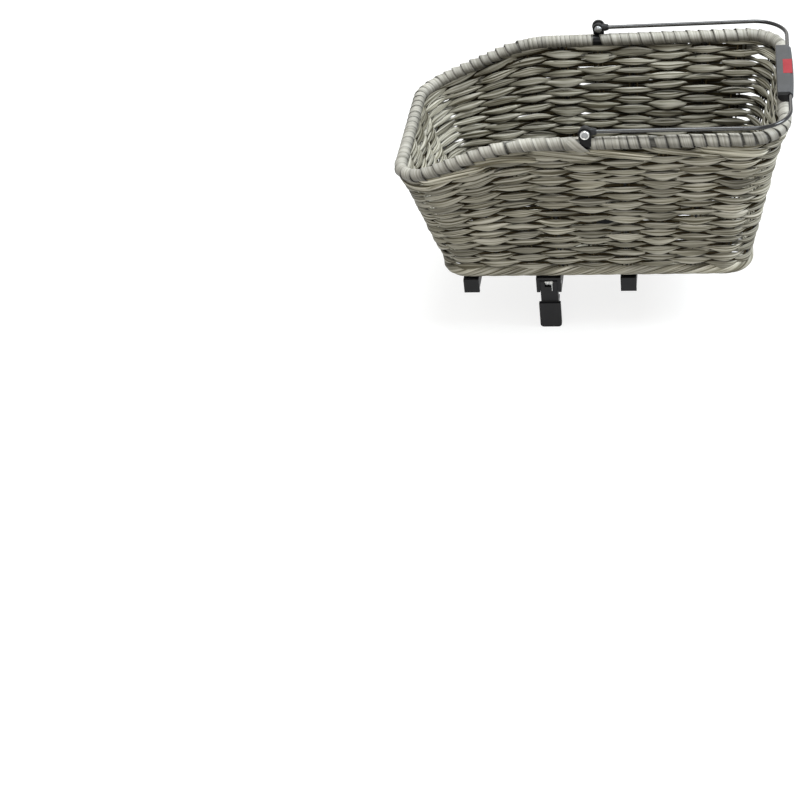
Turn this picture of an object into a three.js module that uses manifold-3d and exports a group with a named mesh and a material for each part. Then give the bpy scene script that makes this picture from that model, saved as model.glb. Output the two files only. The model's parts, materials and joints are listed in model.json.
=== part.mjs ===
// Woven bicycle basket with a folding handle and a quick-release carrier adapter.
// Millimetres, +Z up, +X to the rear of the bicycle. The origin is the centre of the
// adapter's flat underside, which rests on the tops of the two carrier rails.

import * as THREE from 'three';
import { mergeVertices } from 'three/addons/utils/BufferGeometryUtils.js';
import Module from 'manifold-3d';

const wasm = await Module();
wasm.setup();

// Clearance between pieces that touch
const GAP = 0.3;

// Carrier rails that the adapter grips
const RAIL_PITCH = 144;
const RAIL_DIAMETER = 15;

// Foot of the basket, measured on the centreline of its plaited border
const FLOOR_Z = 27;
const FLOOR_THICKNESS = 10;
const FOOT_LENGTH = 342;
const FOOT_WIDTH = 186;
const FOOT_CORNER = 26;
const FOOT_CENTRE_X = 54.5;
const FOOT_BORDER_DIAMETER = 12;

// Rim, measured on the centreline of its steel ring
const RIM_LENGTH = 420.5;
const RIM_WIDTH = 243.6;
const RIM_CORNER = 40;
const RIM_CENTRE_X = 52.5;
const RIM_WRAP_DIAMETER = 14;
const REAR_WALL_HEIGHT = 185;
const FRONT_WALL_HEIGHT = 137.6;
const SLOPE_START_X = -32;
const SLOPE_END_X = -150;
const SLOPE_ROUNDING = 30;

// Weave: rows of strand that pass outside and inside of the stakes in turn
const STAKES_PER_UPRIGHT = 2;
const WEAVE_ROWS = 27;
const WALL_THICKNESS = 9;
const WALL_WAIST = 4;
const STRAND_DIP = 1.6;

// Steel wire frame
const RING_WIRE = 6;
const FOOT_WIRE = 5;
const UPRIGHT_WIRE = 3;
const FLOOR_WIRE = 4;
const UPRIGHT_COUNT = 14;
const FLOOR_WIRE_SPACING = 84;
const FLOOR_WIRE_COUNT = 3;

// Handle hinges
const PIVOT_X = 54;
const PIVOT_RISE = 15;
const BRACKET_LENGTH = 12.4;
const BRACKET_BAND_DIAMETER = 13.2;
const EAR_REACH = 7.5;
const EAR_THICKNESS = 3.4;
const EAR_RADIUS = 7.3;
const PIN_DIAMETER = 4.4;
const PIN_HEAD_DIAMETER = 11.2;
const PIN_HEAD_HEIGHT = 2.8;
const PIN_DEPTH_IN_NUT = 2.8;
const NUT_DIAMETER = 8.6;
const NUT_HEIGHT = 4.6;

// Handle
const BAIL_ROD = 4.4;
const BAR_OVERHANG = 5.75;
const BAIL_WIDTH = 250;
const BAIL_CORNER = 38;
const KNUCKLE_DIAMETER = 12.2;
const EYE_THICKNESS = 4.6;
const SLEEVE_DIAMETER = 7.6;
const SLEEVE_LENGTH = 18;
const GRIP_LENGTH = 110;
const GRIP_INNER = 13.2;
const GRIP_OUTER = 5;
const GRIP_OUTER_END = 3.6;
const GRIP_TOP = 4.3;
const GRIP_CHAMFER = 3.6;
const GRIP_EDGE = 0.7;
const GRIP_BELLY = 4;
const INLAY_LENGTH = 33;
const INLAY_WIDTH = 10;
const INLAY_DEPTH = 0.8;
const INLAY_OFFSET_X = -1.3;
const INLAY_OFFSET_Y = 4;

// Adapter
const ADAPTER_LENGTH = 200;
const ADAPTER_WIDTH = 108;
const ADAPTER_CORNER = 14;
const ADAPTER_WALL = 3;
const ADAPTER_BOTTOM = 4;
const HOOK_SPACING = 182;
const HOOK_WIDTH = 18;
const HOOK_THICKNESS = 4;
const NEAR_LIP_DEPTH = 4;
const ARM_HEIGHT = 14;
const ARM_WALL = 3;
const FAR_LIP_REACH = 14;
const FAR_LIP_TIP = 2.4;
const HOOK_SCREW_DIAMETER = 5;
const HOOK_SCREW_DEPTH = 14;
const HOOK_SCREW_HEAD = 10;
const HOOK_SCREW_HEAD_HEIGHT = 2.5;
const HOOK_SCREW_Z = 7;

// Bolts that clamp the woven floor to the adapter
const BOLT_SPACING_X = 128;
const BOLT_SPACING_Y = 64;
const BOLT_DIAMETER = 5;
const BOLT_HEAD_DIAMETER = 10;
const BOLT_HEAD_HEIGHT = 3;
const BOLT_NUT_WIDTH = 9;
const BOLT_NUT_HEIGHT = 4;
const BOLT_NUT_DEPTH = 0.8;
const BOSS_DIAMETER = 16;
const CLAMP_PLATE_WIDTH = 24;
const CLAMP_PLATE_THICKNESS = 2;

// Latch
const LEVER_WIDTH = 20;
const LEVER_STANDOFF = 1.5;
const LEVER_THICKNESS = 9;
const LATCH_PIVOT_Z = 11;
const HUB_DIAMETER = 10;
const LEVER_SHOULDER = 2.5;
const CATCH_REACH = 9;
const CATCH_HEIGHT = 8;
const CATCH_TIP = 2.8;
const TAB_WIDTH = 25;
const TAB_THICKNESS = 5;
const TAB_PROUD = 3;
const TAB_TOP_Z = -14;
const TAB_LENGTH = 33;
const TAB_CORNER = 4;
const LATCH_PIN = 4;
const CHEEK_THICKNESS = 4;
const HOOD_THICKNESS = 3;
const SPRING_WIRE = 1.2;
const SPRING_RADIUS = 3.4;
const SPRING_TURNS = 4;
const SPRING_PITCH = 1.75;

// Facets
const LOOP_SIDE_STEPS = 10;
const LOOP_END_STEPS = 2;
const LOOP_CORNER_STEPS = 4;
const RING_SIDES = 6;
const BORDER_SIDES = 8;
const CROSSING_LEVELS = 10;
const WIRE_SIDES = 6;
const ROD_SIDES = 10;
const ROUND_SIDES = 16;
const SCREW_SIDES = 12;
const BAIL_STEPS = 44;
const SPRING_STEPS_PER_TURN = 8;
const SPRING_SIDES = 5;
const DOME_STEPS = 3;
const CORNER_STEPS = 6;
const EAR_STEPS = 12;
const GRIP_STEPS = 6;
const SMALL_CORNER_STEPS = 4;

// Shares of a domed head: its straight edge of the height, its flat middle of the radius
const HEAD_EDGE = 0.35;
const HEAD_FLAT = 0.5;

// Reach of a Bezier handle in the bail's corners, as a share of the corner's radius
const CORNER_PULL = 0.45;

// How far a cutter runs past what it cuts, and the distance at which points are one
const THROUGH = 1;
const SAME_POINT = 1e-4;

// Places worked out from the driving sizes
const RIM_Z = FLOOR_Z + REAR_WALL_HEIGHT;
const FRONT_RIM_Z = FLOOR_Z + FRONT_WALL_HEIGHT;
const FOOT_Z = FLOOR_Z + FOOT_BORDER_DIAMETER / 2;
const FLOOR_TOP = FLOOR_Z + FLOOR_THICKNESS;
const PIVOT_Z = RIM_Z + PIVOT_RISE;
const BAIL_REACH = RIM_CENTRE_X + RIM_LENGTH / 2 + BAR_OVERHANG - PIVOT_X;
const EYE_OUTER = EAR_REACH - EAR_THICKNESS - GAP;
const EYE_INNER = EYE_OUTER - EYE_THICKNESS;
const ARM_OFFSET = (EYE_OUTER + EYE_INNER) / 2;
const ADAPTER_TOP = FLOOR_Z - GAP;
const RAIL_OUTER = (RAIL_PITCH + RAIL_DIAMETER) / 2;
const HOOK_INNER = RAIL_OUTER + GAP;
const HOOK_OUTER = HOOK_INNER + HOOK_THICKNESS;
const LEVER_INNER_Y = -(RAIL_OUTER + LEVER_STANDOFF);
const LEVER_OUTER_Y = LEVER_INNER_Y - LEVER_THICKNESS;
const LATCH_PIVOT_Y = LEVER_INNER_Y - HUB_DIAMETER / 2 + GAP;
const LEFT = -1;
const RIGHT = 1;
const SIDES = { left: LEFT, right: RIGHT };
const INNER = -1;
const OUTER = 1;

const finishes = {
  rattan: new THREE.MeshStandardMaterial({ color: 0x8c887a, roughness: 0.75 }),
  binding: new THREE.MeshStandardMaterial({ color: 0xb9b5a8, roughness: 0.7 }),
  blackSteel: new THREE.MeshStandardMaterial({ color: 0x17181a, roughness: 0.4, metalness: 0.6 }),
  brightSteel: new THREE.MeshStandardMaterial({ color: 0xd2d2d0, roughness: 0.25, metalness: 1 }),
  blackPlastic: new THREE.MeshStandardMaterial({ color: 0x1c1d1e, roughness: 0.55 }),
  greyPlastic: new THREE.MeshStandardMaterial({ color: 0x5d5e5e, roughness: 0.5 }),
  redInlay: new THREE.MeshStandardMaterial({ color: 0xcf3f4a, roughness: 0.45 }),
};

const basket = new THREE.Group();

// Boolean joins and cuts
function toSolid(geometry) {
  const bare = geometry.clone();
  bare.deleteAttribute('normal');
  bare.deleteAttribute('uv');
  const merged = mergeVertices(bare, SAME_POINT);
  return new wasm.Manifold(new wasm.Mesh({
    numProp: 3,
    vertProperties: new Float32Array(merged.attributes.position.array),
    triVerts: new Uint32Array(merged.index.array),
  }));
}

function toGeometry(solid) {
  const mesh = solid.getMesh();
  const geometry = new THREE.BufferGeometry();
  geometry.setAttribute('position', new THREE.BufferAttribute(new Float32Array(mesh.vertProperties), 3));
  geometry.setIndex(new THREE.BufferAttribute(new Uint32Array(mesh.triVerts), 1));
  return geometry;
}

function join(...geometries) {
  return geometries.map(toSolid).reduce((whole, next) => whole.add(next));
}

function cut(solid, ...tools) {
  return tools.reduce((rest, tool) => rest.subtract(toSolid(tool)), solid);
}

function addPiece(name, shape, finish, parent = basket) {
  const geometry = shape.isBufferGeometry ? shape : toGeometry(shape);
  const mesh = new THREE.Mesh(geometry, finish);
  mesh.name = name;
  parent.add(mesh);
}

// Basic forms
function block(x0, x1, y0, y1, z0, z1) {
  const geometry = new THREE.BoxGeometry(x1 - x0, y1 - y0, z1 - z0);
  return geometry.translate((x0 + x1) / 2, (y0 + y1) / 2, (z0 + z1) / 2);
}

function rod(from, to, radius, sides = ROUND_SIDES) {
  const along = new THREE.Vector3().subVectors(to, from);
  const geometry = new THREE.CylinderGeometry(radius, radius, along.length(), sides);
  const turn = new THREE.Quaternion().setFromUnitVectors(new THREE.Vector3(0, 1, 0), along.normalize());
  const middle = new THREE.Vector3().addVectors(from, to).multiplyScalar(0.5);
  return geometry.applyQuaternion(turn).translate(middle.x, middle.y, middle.z);
}

function roundedPlan(length, width, corner) {
  const x = length / 2;
  const y = width / 2;
  const shape = new THREE.Shape();
  shape.moveTo(x, -y + corner);
  shape.absarc(x - corner, y - corner, corner, 0, Math.PI / 2);
  shape.absarc(-x + corner, y - corner, corner, Math.PI / 2, Math.PI);
  shape.absarc(-x + corner, -y + corner, corner, Math.PI, Math.PI * 1.5);
  shape.absarc(x - corner, -y + corner, corner, Math.PI * 1.5, Math.PI * 2);
  return shape;
}

function plate(shape, z0, z1, curveSegments = CORNER_STEPS) {
  const geometry = new THREE.ExtrudeGeometry(shape, { depth: z1 - z0, bevelEnabled: false, curveSegments });
  return geometry.translate(0, 0, z0);
}

// A profile drawn in Y and Z, extruded along X about the middle
function prismAlongX(shape, width, curveSegments = CORNER_STEPS) {
  const geometry = plate(shape, -width / 2, width / 2, curveSegments);
  const turn = new THREE.Matrix4().makeBasis(
    new THREE.Vector3(0, 1, 0), new THREE.Vector3(0, 0, 1), new THREE.Vector3(1, 0, 0));
  return geometry.applyMatrix4(turn);
}

// A profile drawn in X and Z, extruded along Y about the middle
function prismAlongY(shape, width, curveSegments = CORNER_STEPS) {
  const geometry = plate(shape, -width / 2, width / 2, curveSegments);
  const turn = new THREE.Matrix4().makeBasis(
    new THREE.Vector3(1, 0, 0), new THREE.Vector3(0, 0, 1), new THREE.Vector3(0, -1, 0));
  return geometry.applyMatrix4(turn);
}

// Joins rings of points into one skin, closed on itself or capped at both ends
function skin(rings, closed) {
  const count = rings[0].length;
  const positions = rings.flat().flatMap((point) => [point.x, point.y, point.z]);
  const faces = [];
  const spans = closed ? rings.length : rings.length - 1;
  for (let i = 0; i < spans; i += 1) {
    const here = i * count;
    const next = ((i + 1) % rings.length) * count;
    for (let j = 0; j < count; j += 1) {
      const k = (j + 1) % count;
      faces.push(here + j, here + k, next + k, here + j, next + k, next + j);
    }
  }
  if (!closed) {
    const last = (rings.length - 1) * count;
    for (let j = 1; j < count - 1; j += 1) {
      faces.push(0, j + 1, j, last, last + j, last + j + 1);
    }
  }
  const geometry = new THREE.BufferGeometry();
  geometry.setAttribute('position', new THREE.Float32BufferAttribute(positions, 3));
  geometry.setIndex(faces);
  return geometry;
}

// The basket's two outlines, walked by a share u of the rim's length from the rear centre
const RIM_PLAN = { length: RIM_LENGTH, width: RIM_WIDTH, corner: RIM_CORNER, centreX: RIM_CENTRE_X };
const FOOT_PLAN = { length: FOOT_LENGTH, width: FOOT_WIDTH, corner: FOOT_CORNER, centreX: FOOT_CENTRE_X };
const END_RUN = RIM_WIDTH - 2 * RIM_CORNER;
const SIDE_RUN = RIM_LENGTH - 2 * RIM_CORNER;
const CORNER_RUN = RIM_CORNER * Math.PI / 2;
const RUNS = [
  END_RUN / 2, CORNER_RUN, SIDE_RUN, CORNER_RUN, END_RUN, CORNER_RUN, SIDE_RUN, CORNER_RUN, END_RUN / 2,
];
const RIM_AROUND = RUNS.reduce((sum, run) => sum + run, 0);

function planPoint(plan, u) {
  let left = (u - Math.floor(u)) * RIM_AROUND;
  let span = 0;
  while (span < RUNS.length - 1 && left > RUNS[span]) {
    left -= RUNS[span];
    span += 1;
  }
  const share = Math.min(left / RUNS[span], 1);
  const x = plan.length / 2;
  const y = plan.width / 2;
  const cornerX = x - plan.corner;
  const cornerY = y - plan.corner;
  const signX = [1, 1, 1, -1, -1, -1, 1, 1, 1][span];
  const signY = [1, 1, 1, 1, 1, -1, -1, -1, -1][span];
  if (span % 2 === 1) {
    const angle = (Math.floor(span / 2) + share) * Math.PI / 2;
    return new THREE.Vector2(
      plan.centreX + signX * cornerX + plan.corner * Math.cos(angle),
      signY * cornerY + plan.corner * Math.sin(angle));
  }
  const straight = [
    [x, share * cornerY], null, [cornerX * (1 - 2 * share), y], null, [-x, cornerY * (1 - 2 * share)], null,
    [cornerX * (2 * share - 1), -y], null, [x, -cornerY * (1 - share)],
  ][span];
  return new THREE.Vector2(plan.centreX + straight[0], straight[1]);
}

// The rim lies level from the rear and slopes down to the front with rounded bends
function roundedRise(distance) {
  if (distance <= -SLOPE_ROUNDING) return 0;
  if (distance >= SLOPE_ROUNDING) return distance;
  return (distance + SLOPE_ROUNDING) ** 2 / (4 * SLOPE_ROUNDING);
}

function rimHeight(x) {
  const slope = (RIM_Z - FRONT_RIM_Z) / (SLOPE_START_X - SLOPE_END_X);
  return RIM_Z - slope * (roundedRise(SLOPE_START_X - x) - roundedRise(SLOPE_END_X - x));
}

// The side walls are flat, so the rim draws in where it drops
function rimPoint(u) {
  const plan = planPoint(RIM_PLAN, u);
  const z = rimHeight(plan.x);
  const rise = (z - FOOT_Z) / (RIM_Z - FOOT_Z);
  const widthHere = FOOT_WIDTH + (RIM_WIDTH - FOOT_WIDTH) * rise;
  return new THREE.Vector3(plan.x, plan.y * widthHere / RIM_WIDTH, z);
}

function footPoint(u) {
  const plan = planPoint(FOOT_PLAN, u);
  return new THREE.Vector3(plan.x, plan.y, FOOT_Z);
}

function directionAt(pointAt, u) {
  const step = 1e-4;
  return new THREE.Vector3().subVectors(pointAt(u + step), pointAt(u - step)).normalize();
}

// Stations around the outlines: more in the corners than along the sides
function loopStations() {
  const stations = [];
  let start = 0;
  RUNS.forEach((run, span) => {
    const corner = span % 2 === 1;
    const halfEnd = span === 0 || span === RUNS.length - 1;
    const endSteps = halfEnd ? LOOP_END_STEPS / 2 : LOOP_END_STEPS;
    const straightSteps = run === SIDE_RUN ? LOOP_SIDE_STEPS : endSteps;
    const steps = corner ? LOOP_CORNER_STEPS : straightSteps;
    for (let i = 0; i < steps; i += 1) {
      stations.push((start + run * i / steps) / RIM_AROUND);
    }
    start += run;
  });
  return stations;
}

const STATIONS = loopStations();

// How far a loop's straight steps stray from its curve between two shares of its length
function stepSag(pointAt, from, to) {
  const ends = [...STATIONS.slice(1), 1];
  const sags = STATIONS.map((start, i) => {
    if (ends[i] < from || start > to) return 0;
    return pointAt(start).lerp(pointAt(ends[i]), 0.5).distanceTo(pointAt((start + ends[i]) / 2));
  });
  return Math.max(...sags);
}

function stationsBetween(from, to) {
  const laps = [-1, 0, 1];
  const inside = laps.flatMap((lap) => STATIONS.map((u) => u + lap)).filter((u) => u > from && u < to);
  return [from, ...inside, to];
}

function circleRing(pointAt, u, radius, sides) {
  const centre = pointAt(u);
  const along = directionAt(pointAt, u);
  const out = new THREE.Vector3().crossVectors(along, new THREE.Vector3(0, 0, 1)).normalize();
  const up = new THREE.Vector3().crossVectors(along, out);
  return Array.from({ length: sides }, (_, j) => {
    const angle = (j + 0.5) * 2 * Math.PI / sides;
    return centre.clone()
      .addScaledVector(out, radius * Math.cos(angle))
      .addScaledVector(up, radius * Math.sin(angle));
  });
}

function loopTube(pointAt, radius, sides) {
  return skin(STATIONS.map((u) => circleRing(pointAt, u, radius, sides)), true);
}

function openTube(pointAt, from, to, radius, sides) {
  return skin(stationsBetween(from, to).map((u) => circleRing(pointAt, u, radius, sides)), false);
}

// Share u at which the rim passes a given x on the right or left side
function rimShare(side, x) {
  const rearStraight = RIM_CENTRE_X + RIM_LENGTH / 2 - RIM_CORNER;
  const right = END_RUN / 2 + CORNER_RUN + rearStraight - x;
  return (side === RIGHT ? right : RIM_AROUND - right) / RIM_AROUND;
}

// Wire frame, with extra radius where it serves to open tunnels in the weave
function wireFrame(extra) {
  const pieces = [
    loopTube(rimPoint, RING_WIRE / 2 + extra, RING_SIDES),
    loopTube(footPoint, FOOT_WIRE / 2 + extra, WIRE_SIDES),
  ];
  for (let i = 0; i < UPRIGHT_COUNT; i += 1) {
    const u = i / UPRIGHT_COUNT;
    pieces.push(rod(footPoint(u), rimPoint(u), UPRIGHT_WIRE / 2 + extra, WIRE_SIDES));
  }
  for (let i = 0; i < FLOOR_WIRE_COUNT; i += 1) {
    const x = FOOT_CENTRE_X + (i - (FLOOR_WIRE_COUNT - 1) / 2) * FLOOR_WIRE_SPACING;
    const from = new THREE.Vector3(x, -FOOT_WIDTH / 2, FOOT_Z);
    const to = new THREE.Vector3(x, FOOT_WIDTH / 2, FOOT_Z);
    pieces.push(rod(from, to, FLOOR_WIRE / 2 + extra, WIRE_SIDES));
  }
  return join(...pieces);
}

// Joins a row of closed rings, which may differ in their number of points, into one skin closed on itself
function laced(rings) {
  const positions = [];
  const triangle = (...corners) => corners.forEach((corner) => positions.push(...corner.toArray()));
  rings.forEach((ring, index) => {
    const next = rings[(index + 1) % rings.length];
    let here = 0;
    let there = 0;
    while (here < ring.length || there < next.length) {
      const from = ring[here % ring.length];
      const to = next[there % next.length];
      if ((here + 1) / ring.length <= (there + 1) / next.length) {
        here += 1;
        triangle(from, ring[here % ring.length], to);
      } else {
        there += 1;
        triangle(from, next[there % next.length], to);
      }
    }
  });
  const geometry = new THREE.BufferGeometry();
  geometry.setAttribute('position', new THREE.Float32BufferAttribute(positions, 3));
  return geometry;
}

// Levels and offsets of the weave's two faces: at a stake each row passes on one face and behind the other,
// and half way between two stakes the rows cross
function weaveRing(stake, atStake) {
  const levels = atStake ? WEAVE_ROWS : CROSSING_LEVELS;
  const faceOffsets = (face) => Array.from({ length: levels }, (_, row) => {
    const rowFace = (stake + row) % 2 === 0 ? OUTER : INNER;
    const strandFace = WALL_THICKNESS / 2 - (rowFace === face ? 0 : STRAND_DIP);
    return { rise: row / (levels - 1), offset: face * (atStake ? strandFace : WALL_WAIST / 2) };
  });
  return [...faceOffsets(INNER), ...faceOffsets(OUTER).reverse()];
}

function wovenWall() {
  const columns = 2 * UPRIGHT_COUNT * STAKES_PER_UPRIGHT;
  const rings = Array.from({ length: columns }, (_, column) => {
    const u = column / columns;
    const foot = footPoint(u);
    const rim = rimPoint(u);
    const up = new THREE.Vector3().subVectors(rim, foot).normalize();
    const out = new THREE.Vector3().crossVectors(directionAt(rimPoint, u), up).normalize();
    const bottom = foot.clone().addScaledVector(up, FOOT_BORDER_DIAMETER / 2 + GAP);
    const rimSag = stepSag(rimPoint, u - 1 / columns, u + 1 / columns);
    const top = rim.clone().addScaledVector(up, -(RIM_WRAP_DIAMETER / 2 + GAP + rimSag));
    return weaveRing(Math.floor(column / 2), column % 2 === 0)
      .map(({ rise, offset }) => bottom.clone().lerp(top, rise).addScaledVector(out, offset));
  });
  return toSolid(laced(rings));
}

function boltPlaces() {
  const x = BOLT_SPACING_X / 2;
  const y = BOLT_SPACING_Y / 2;
  return [[-x, -y], [-x, y], [x, -y], [x, y]];
}

function uprightBore(x, y, radius, z0, z1) {
  return rod(new THREE.Vector3(x, y, z0), new THREE.Vector3(x, y, z1), radius);
}

function makeBasket() {
  const tunnels = wireFrame(GAP);
  addPiece('wire_frame', wireFrame(0), finishes.blackSteel);
  addPiece('woven_wall', wovenWall().subtract(tunnels), finishes.rattan);
  const border = toSolid(loopTube(footPoint, FOOT_BORDER_DIAMETER / 2, BORDER_SIDES));
  addPiece('foot_border', border.subtract(tunnels), finishes.rattan);

  const inset = FOOT_BORDER_DIAMETER / 2 + GAP;
  const floorPlan = roundedPlan(FOOT_LENGTH - 2 * inset, FOOT_WIDTH - 2 * inset, FOOT_CORNER - inset);
  const panel = plate(floorPlan, FLOOR_Z, FLOOR_TOP).translate(FOOT_CENTRE_X, 0, 0);
  const bores = boltPlaces().map(([x, y]) => uprightBore(
    x, y, BOLT_DIAMETER / 2 + GAP, FLOOR_Z - THROUGH, FLOOR_TOP + THROUGH));
  addPiece('woven_floor', cut(toSolid(panel).subtract(tunnels), ...bores), finishes.rattan);

  const half = BRACKET_LENGTH / 2 + GAP;
  const rearWrap = openTube(rimPoint, rimShare(LEFT, PIVOT_X + half) - 1, rimShare(RIGHT, PIVOT_X + half),
    RIM_WRAP_DIAMETER / 2, ROD_SIDES);
  const frontWrap = openTube(rimPoint, rimShare(RIGHT, PIVOT_X - half), rimShare(LEFT, PIVOT_X - half),
    RIM_WRAP_DIAMETER / 2, ROD_SIDES);
  addPiece('rim_wrap_rear', toSolid(rearWrap).subtract(tunnels), finishes.binding);
  addPiece('rim_wrap_front', toSolid(frontWrap).subtract(tunnels), finishes.binding);
}

// Hinge bracket: a band around the rim ring and one ear outside it, drawn about the ring's centre
// with +Y outward
function hingeBracket() {
  const band = rod(
    new THREE.Vector3(-BRACKET_LENGTH / 2, 0, 0), new THREE.Vector3(BRACKET_LENGTH / 2, 0, 0),
    BRACKET_BAND_DIAMETER / 2);
  const neck = BRACKET_LENGTH / 2;
  const shoulder = RIM_WRAP_DIAMETER / 2 + GAP;
  const drop = PIVOT_RISE - shoulder;
  const lean = Math.acos(EAR_RADIUS / Math.hypot(neck, drop)) - Math.atan2(drop, neck);
  const shape = new THREE.Shape();
  shape.moveTo(neck, 0);
  shape.lineTo(neck, shoulder);
  shape.absarc(0, PIVOT_RISE, EAR_RADIUS, lean, Math.PI - lean);
  shape.lineTo(-neck, shoulder);
  shape.lineTo(-neck, 0);
  const ear = prismAlongY(shape, EAR_THICKNESS, EAR_STEPS).translate(0, EAR_REACH - EAR_THICKNESS / 2, 0);
  const far = EAR_REACH + THROUGH;
  const pinBore = rod(
    new THREE.Vector3(0, -far, PIVOT_RISE), new THREE.Vector3(0, far, PIVOT_RISE), PIN_DIAMETER / 2 + GAP);
  const ringBore = rod(
    new THREE.Vector3(-BRACKET_LENGTH, 0, 0), new THREE.Vector3(BRACKET_LENGTH, 0, 0), RING_WIRE / 2 + GAP);
  return cut(join(band, ear), pinBore, ringBore);
}

// Half profile of a domed head, from its rim to its middle
function domedHead(radius, base, height) {
  const edge = height * HEAD_EDGE;
  const flat = radius * HEAD_FLAT;
  const points = [[radius, base]];
  for (let i = 0; i <= DOME_STEPS; i += 1) {
    const angle = i / DOME_STEPS * Math.PI / 2;
    points.push([flat + (radius - flat) * Math.cos(angle), base + edge + (height - edge) * Math.sin(angle)]);
  }
  points.push([0, base + height]);
  return points;
}

function turned(profile, sides) {
  return new THREE.LatheGeometry(profile.map(([r, y]) => new THREE.Vector2(r, y)), sides);
}

// Domed pin along Y with its head outside, drawn about the pivot with +Y outward
function pivotPin() {
  const shank = PIN_DIAMETER / 2;
  const seat = EAR_REACH + GAP;
  const end = EYE_INNER - GAP - PIN_DEPTH_IN_NUT;
  const head = domedHead(PIN_HEAD_DIAMETER / 2, seat, PIN_HEAD_HEIGHT);
  return turned([[0, end], [shank, end], [shank, seat], ...head], ROUND_SIDES);
}

// Domed nut on the pin's inner end
function pivotNut() {
  const face = EYE_INNER - GAP;
  const bore = PIN_DIAMETER / 2 + GAP;
  const blind = face - PIN_DEPTH_IN_NUT - GAP;
  const dome = domedHead(NUT_DIAMETER / 2, face, -NUT_HEIGHT).reverse();
  return turned([...dome, [bore, face], [bore, blind], [0, blind]], ROUND_SIDES);
}

// Knuckle: an eye on the pin, and a sleeve towards +X, clear of the ear, that holds the rod's end
function bailKnuckle() {
  const half = EYE_THICKNESS / 2;
  const sleeveStart = EAR_RADIUS + GAP;
  const sleeveHalf = SLEEVE_DIAMETER / 2;
  const eye = rod(new THREE.Vector3(0, -half, 0), new THREE.Vector3(0, half, 0), KNUCKLE_DIAMETER / 2);
  const tab = block(0, sleeveStart + THROUGH, -half, half, -sleeveHalf, sleeveHalf);
  const sleeve = rod(
    new THREE.Vector3(sleeveStart, 0, 0), new THREE.Vector3(SLEEVE_LENGTH, 0, 0), sleeveHalf);
  const pinBore = rod(
    new THREE.Vector3(0, -EYE_THICKNESS, 0), new THREE.Vector3(0, EYE_THICKNESS, 0), PIN_DIAMETER / 2 + GAP);
  const rodBore = rod(
    new THREE.Vector3(sleeveStart + THROUGH, 0, 0), new THREE.Vector3(SLEEVE_LENGTH + THROUGH, 0, 0),
    BAIL_ROD / 2 + GAP, ROD_SIDES);
  return cut(join(eye, tab, sleeve), pinBore, rodBore);
}

// Handle rod: two arms that open slightly to the rear, joined by a bar through round corners
function bailRod() {
  const start = EAR_RADIUS + THROUGH + 2 * GAP;
  const sleeveEnd = SLEEVE_LENGTH + BAIL_ROD;
  const halfHinge = RIM_WIDTH / 2 + ARM_OFFSET;
  const halfBar = BAIL_WIDTH / 2;
  const pull = BAIL_CORNER * CORNER_PULL;
  const bar = BAIL_REACH;
  const armEnd = bar - BAIL_CORNER;
  const barEnd = halfBar - BAIL_CORNER;
  const at = (x, y) => new THREE.Vector3(x, y, 0);
  const path = new THREE.CurvePath();
  path.add(new THREE.LineCurve3(at(start, -halfHinge), at(sleeveEnd, -halfHinge)));
  path.add(new THREE.LineCurve3(at(sleeveEnd, -halfHinge), at(armEnd, -halfBar)));
  path.add(new THREE.CubicBezierCurve3(
    at(armEnd, -halfBar), at(bar - pull, -halfBar), at(bar, -halfBar + pull), at(bar, -barEnd)));
  path.add(new THREE.LineCurve3(at(bar, -barEnd), at(bar, barEnd)));
  path.add(new THREE.CubicBezierCurve3(
    at(bar, barEnd), at(bar, halfBar - pull), at(bar - pull, halfBar), at(armEnd, halfBar)));
  path.add(new THREE.LineCurve3(at(armEnd, halfBar), at(sleeveEnd, halfHinge)));
  path.add(new THREE.LineCurve3(at(sleeveEnd, halfHinge), at(start, halfHinge)));
  const section = new THREE.Shape().absarc(0, 0, BAIL_ROD / 2, 0, Math.PI * 2);
  return new THREE.ExtrudeGeometry(
    section, { steps: BAIL_STEPS, curveSegments: SMALL_CORNER_STEPS, extrudePath: path });
}

// Grip outline across the bar: flat top, chamfered towards the basket, drawn in below,
// bowed outward in the middle of its length
function gripRing(y, inset) {
  const bow = 1 - (2 * y / GRIP_LENGTH) ** 2;
  const outer = GRIP_OUTER_END + (GRIP_OUTER - GRIP_OUTER_END) * bow - inset;
  const inner = -GRIP_INNER + inset;
  const top = GRIP_TOP - inset;
  const bottom = -(PIVOT_RISE - RIM_WRAP_DIAMETER / 2 - GAP) + inset;
  const outline = [
    [outer - GRIP_EDGE, top], [outer, top - GRIP_EDGE],
    [outer, bottom + GRIP_BELLY], [outer - GRIP_BELLY, bottom],
    [inner + GRIP_BELLY, bottom], [inner, bottom + GRIP_BELLY],
    [inner, top - GRIP_CHAMFER], [inner + GRIP_CHAMFER, top],
  ];
  return outline.map(([x, z]) => new THREE.Vector3(BAIL_REACH + x, y, z));
}

function gripBody() {
  const half = GRIP_LENGTH / 2;
  const straight = half - GRIP_EDGE;
  const rings = [gripRing(-half, GRIP_EDGE)];
  for (let i = 0; i <= GRIP_STEPS; i += 1) {
    rings.push(gripRing(straight * (2 * i / GRIP_STEPS - 1), 0));
  }
  rings.push(gripRing(half, GRIP_EDGE));
  return toSolid(skin(rings, false));
}

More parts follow.
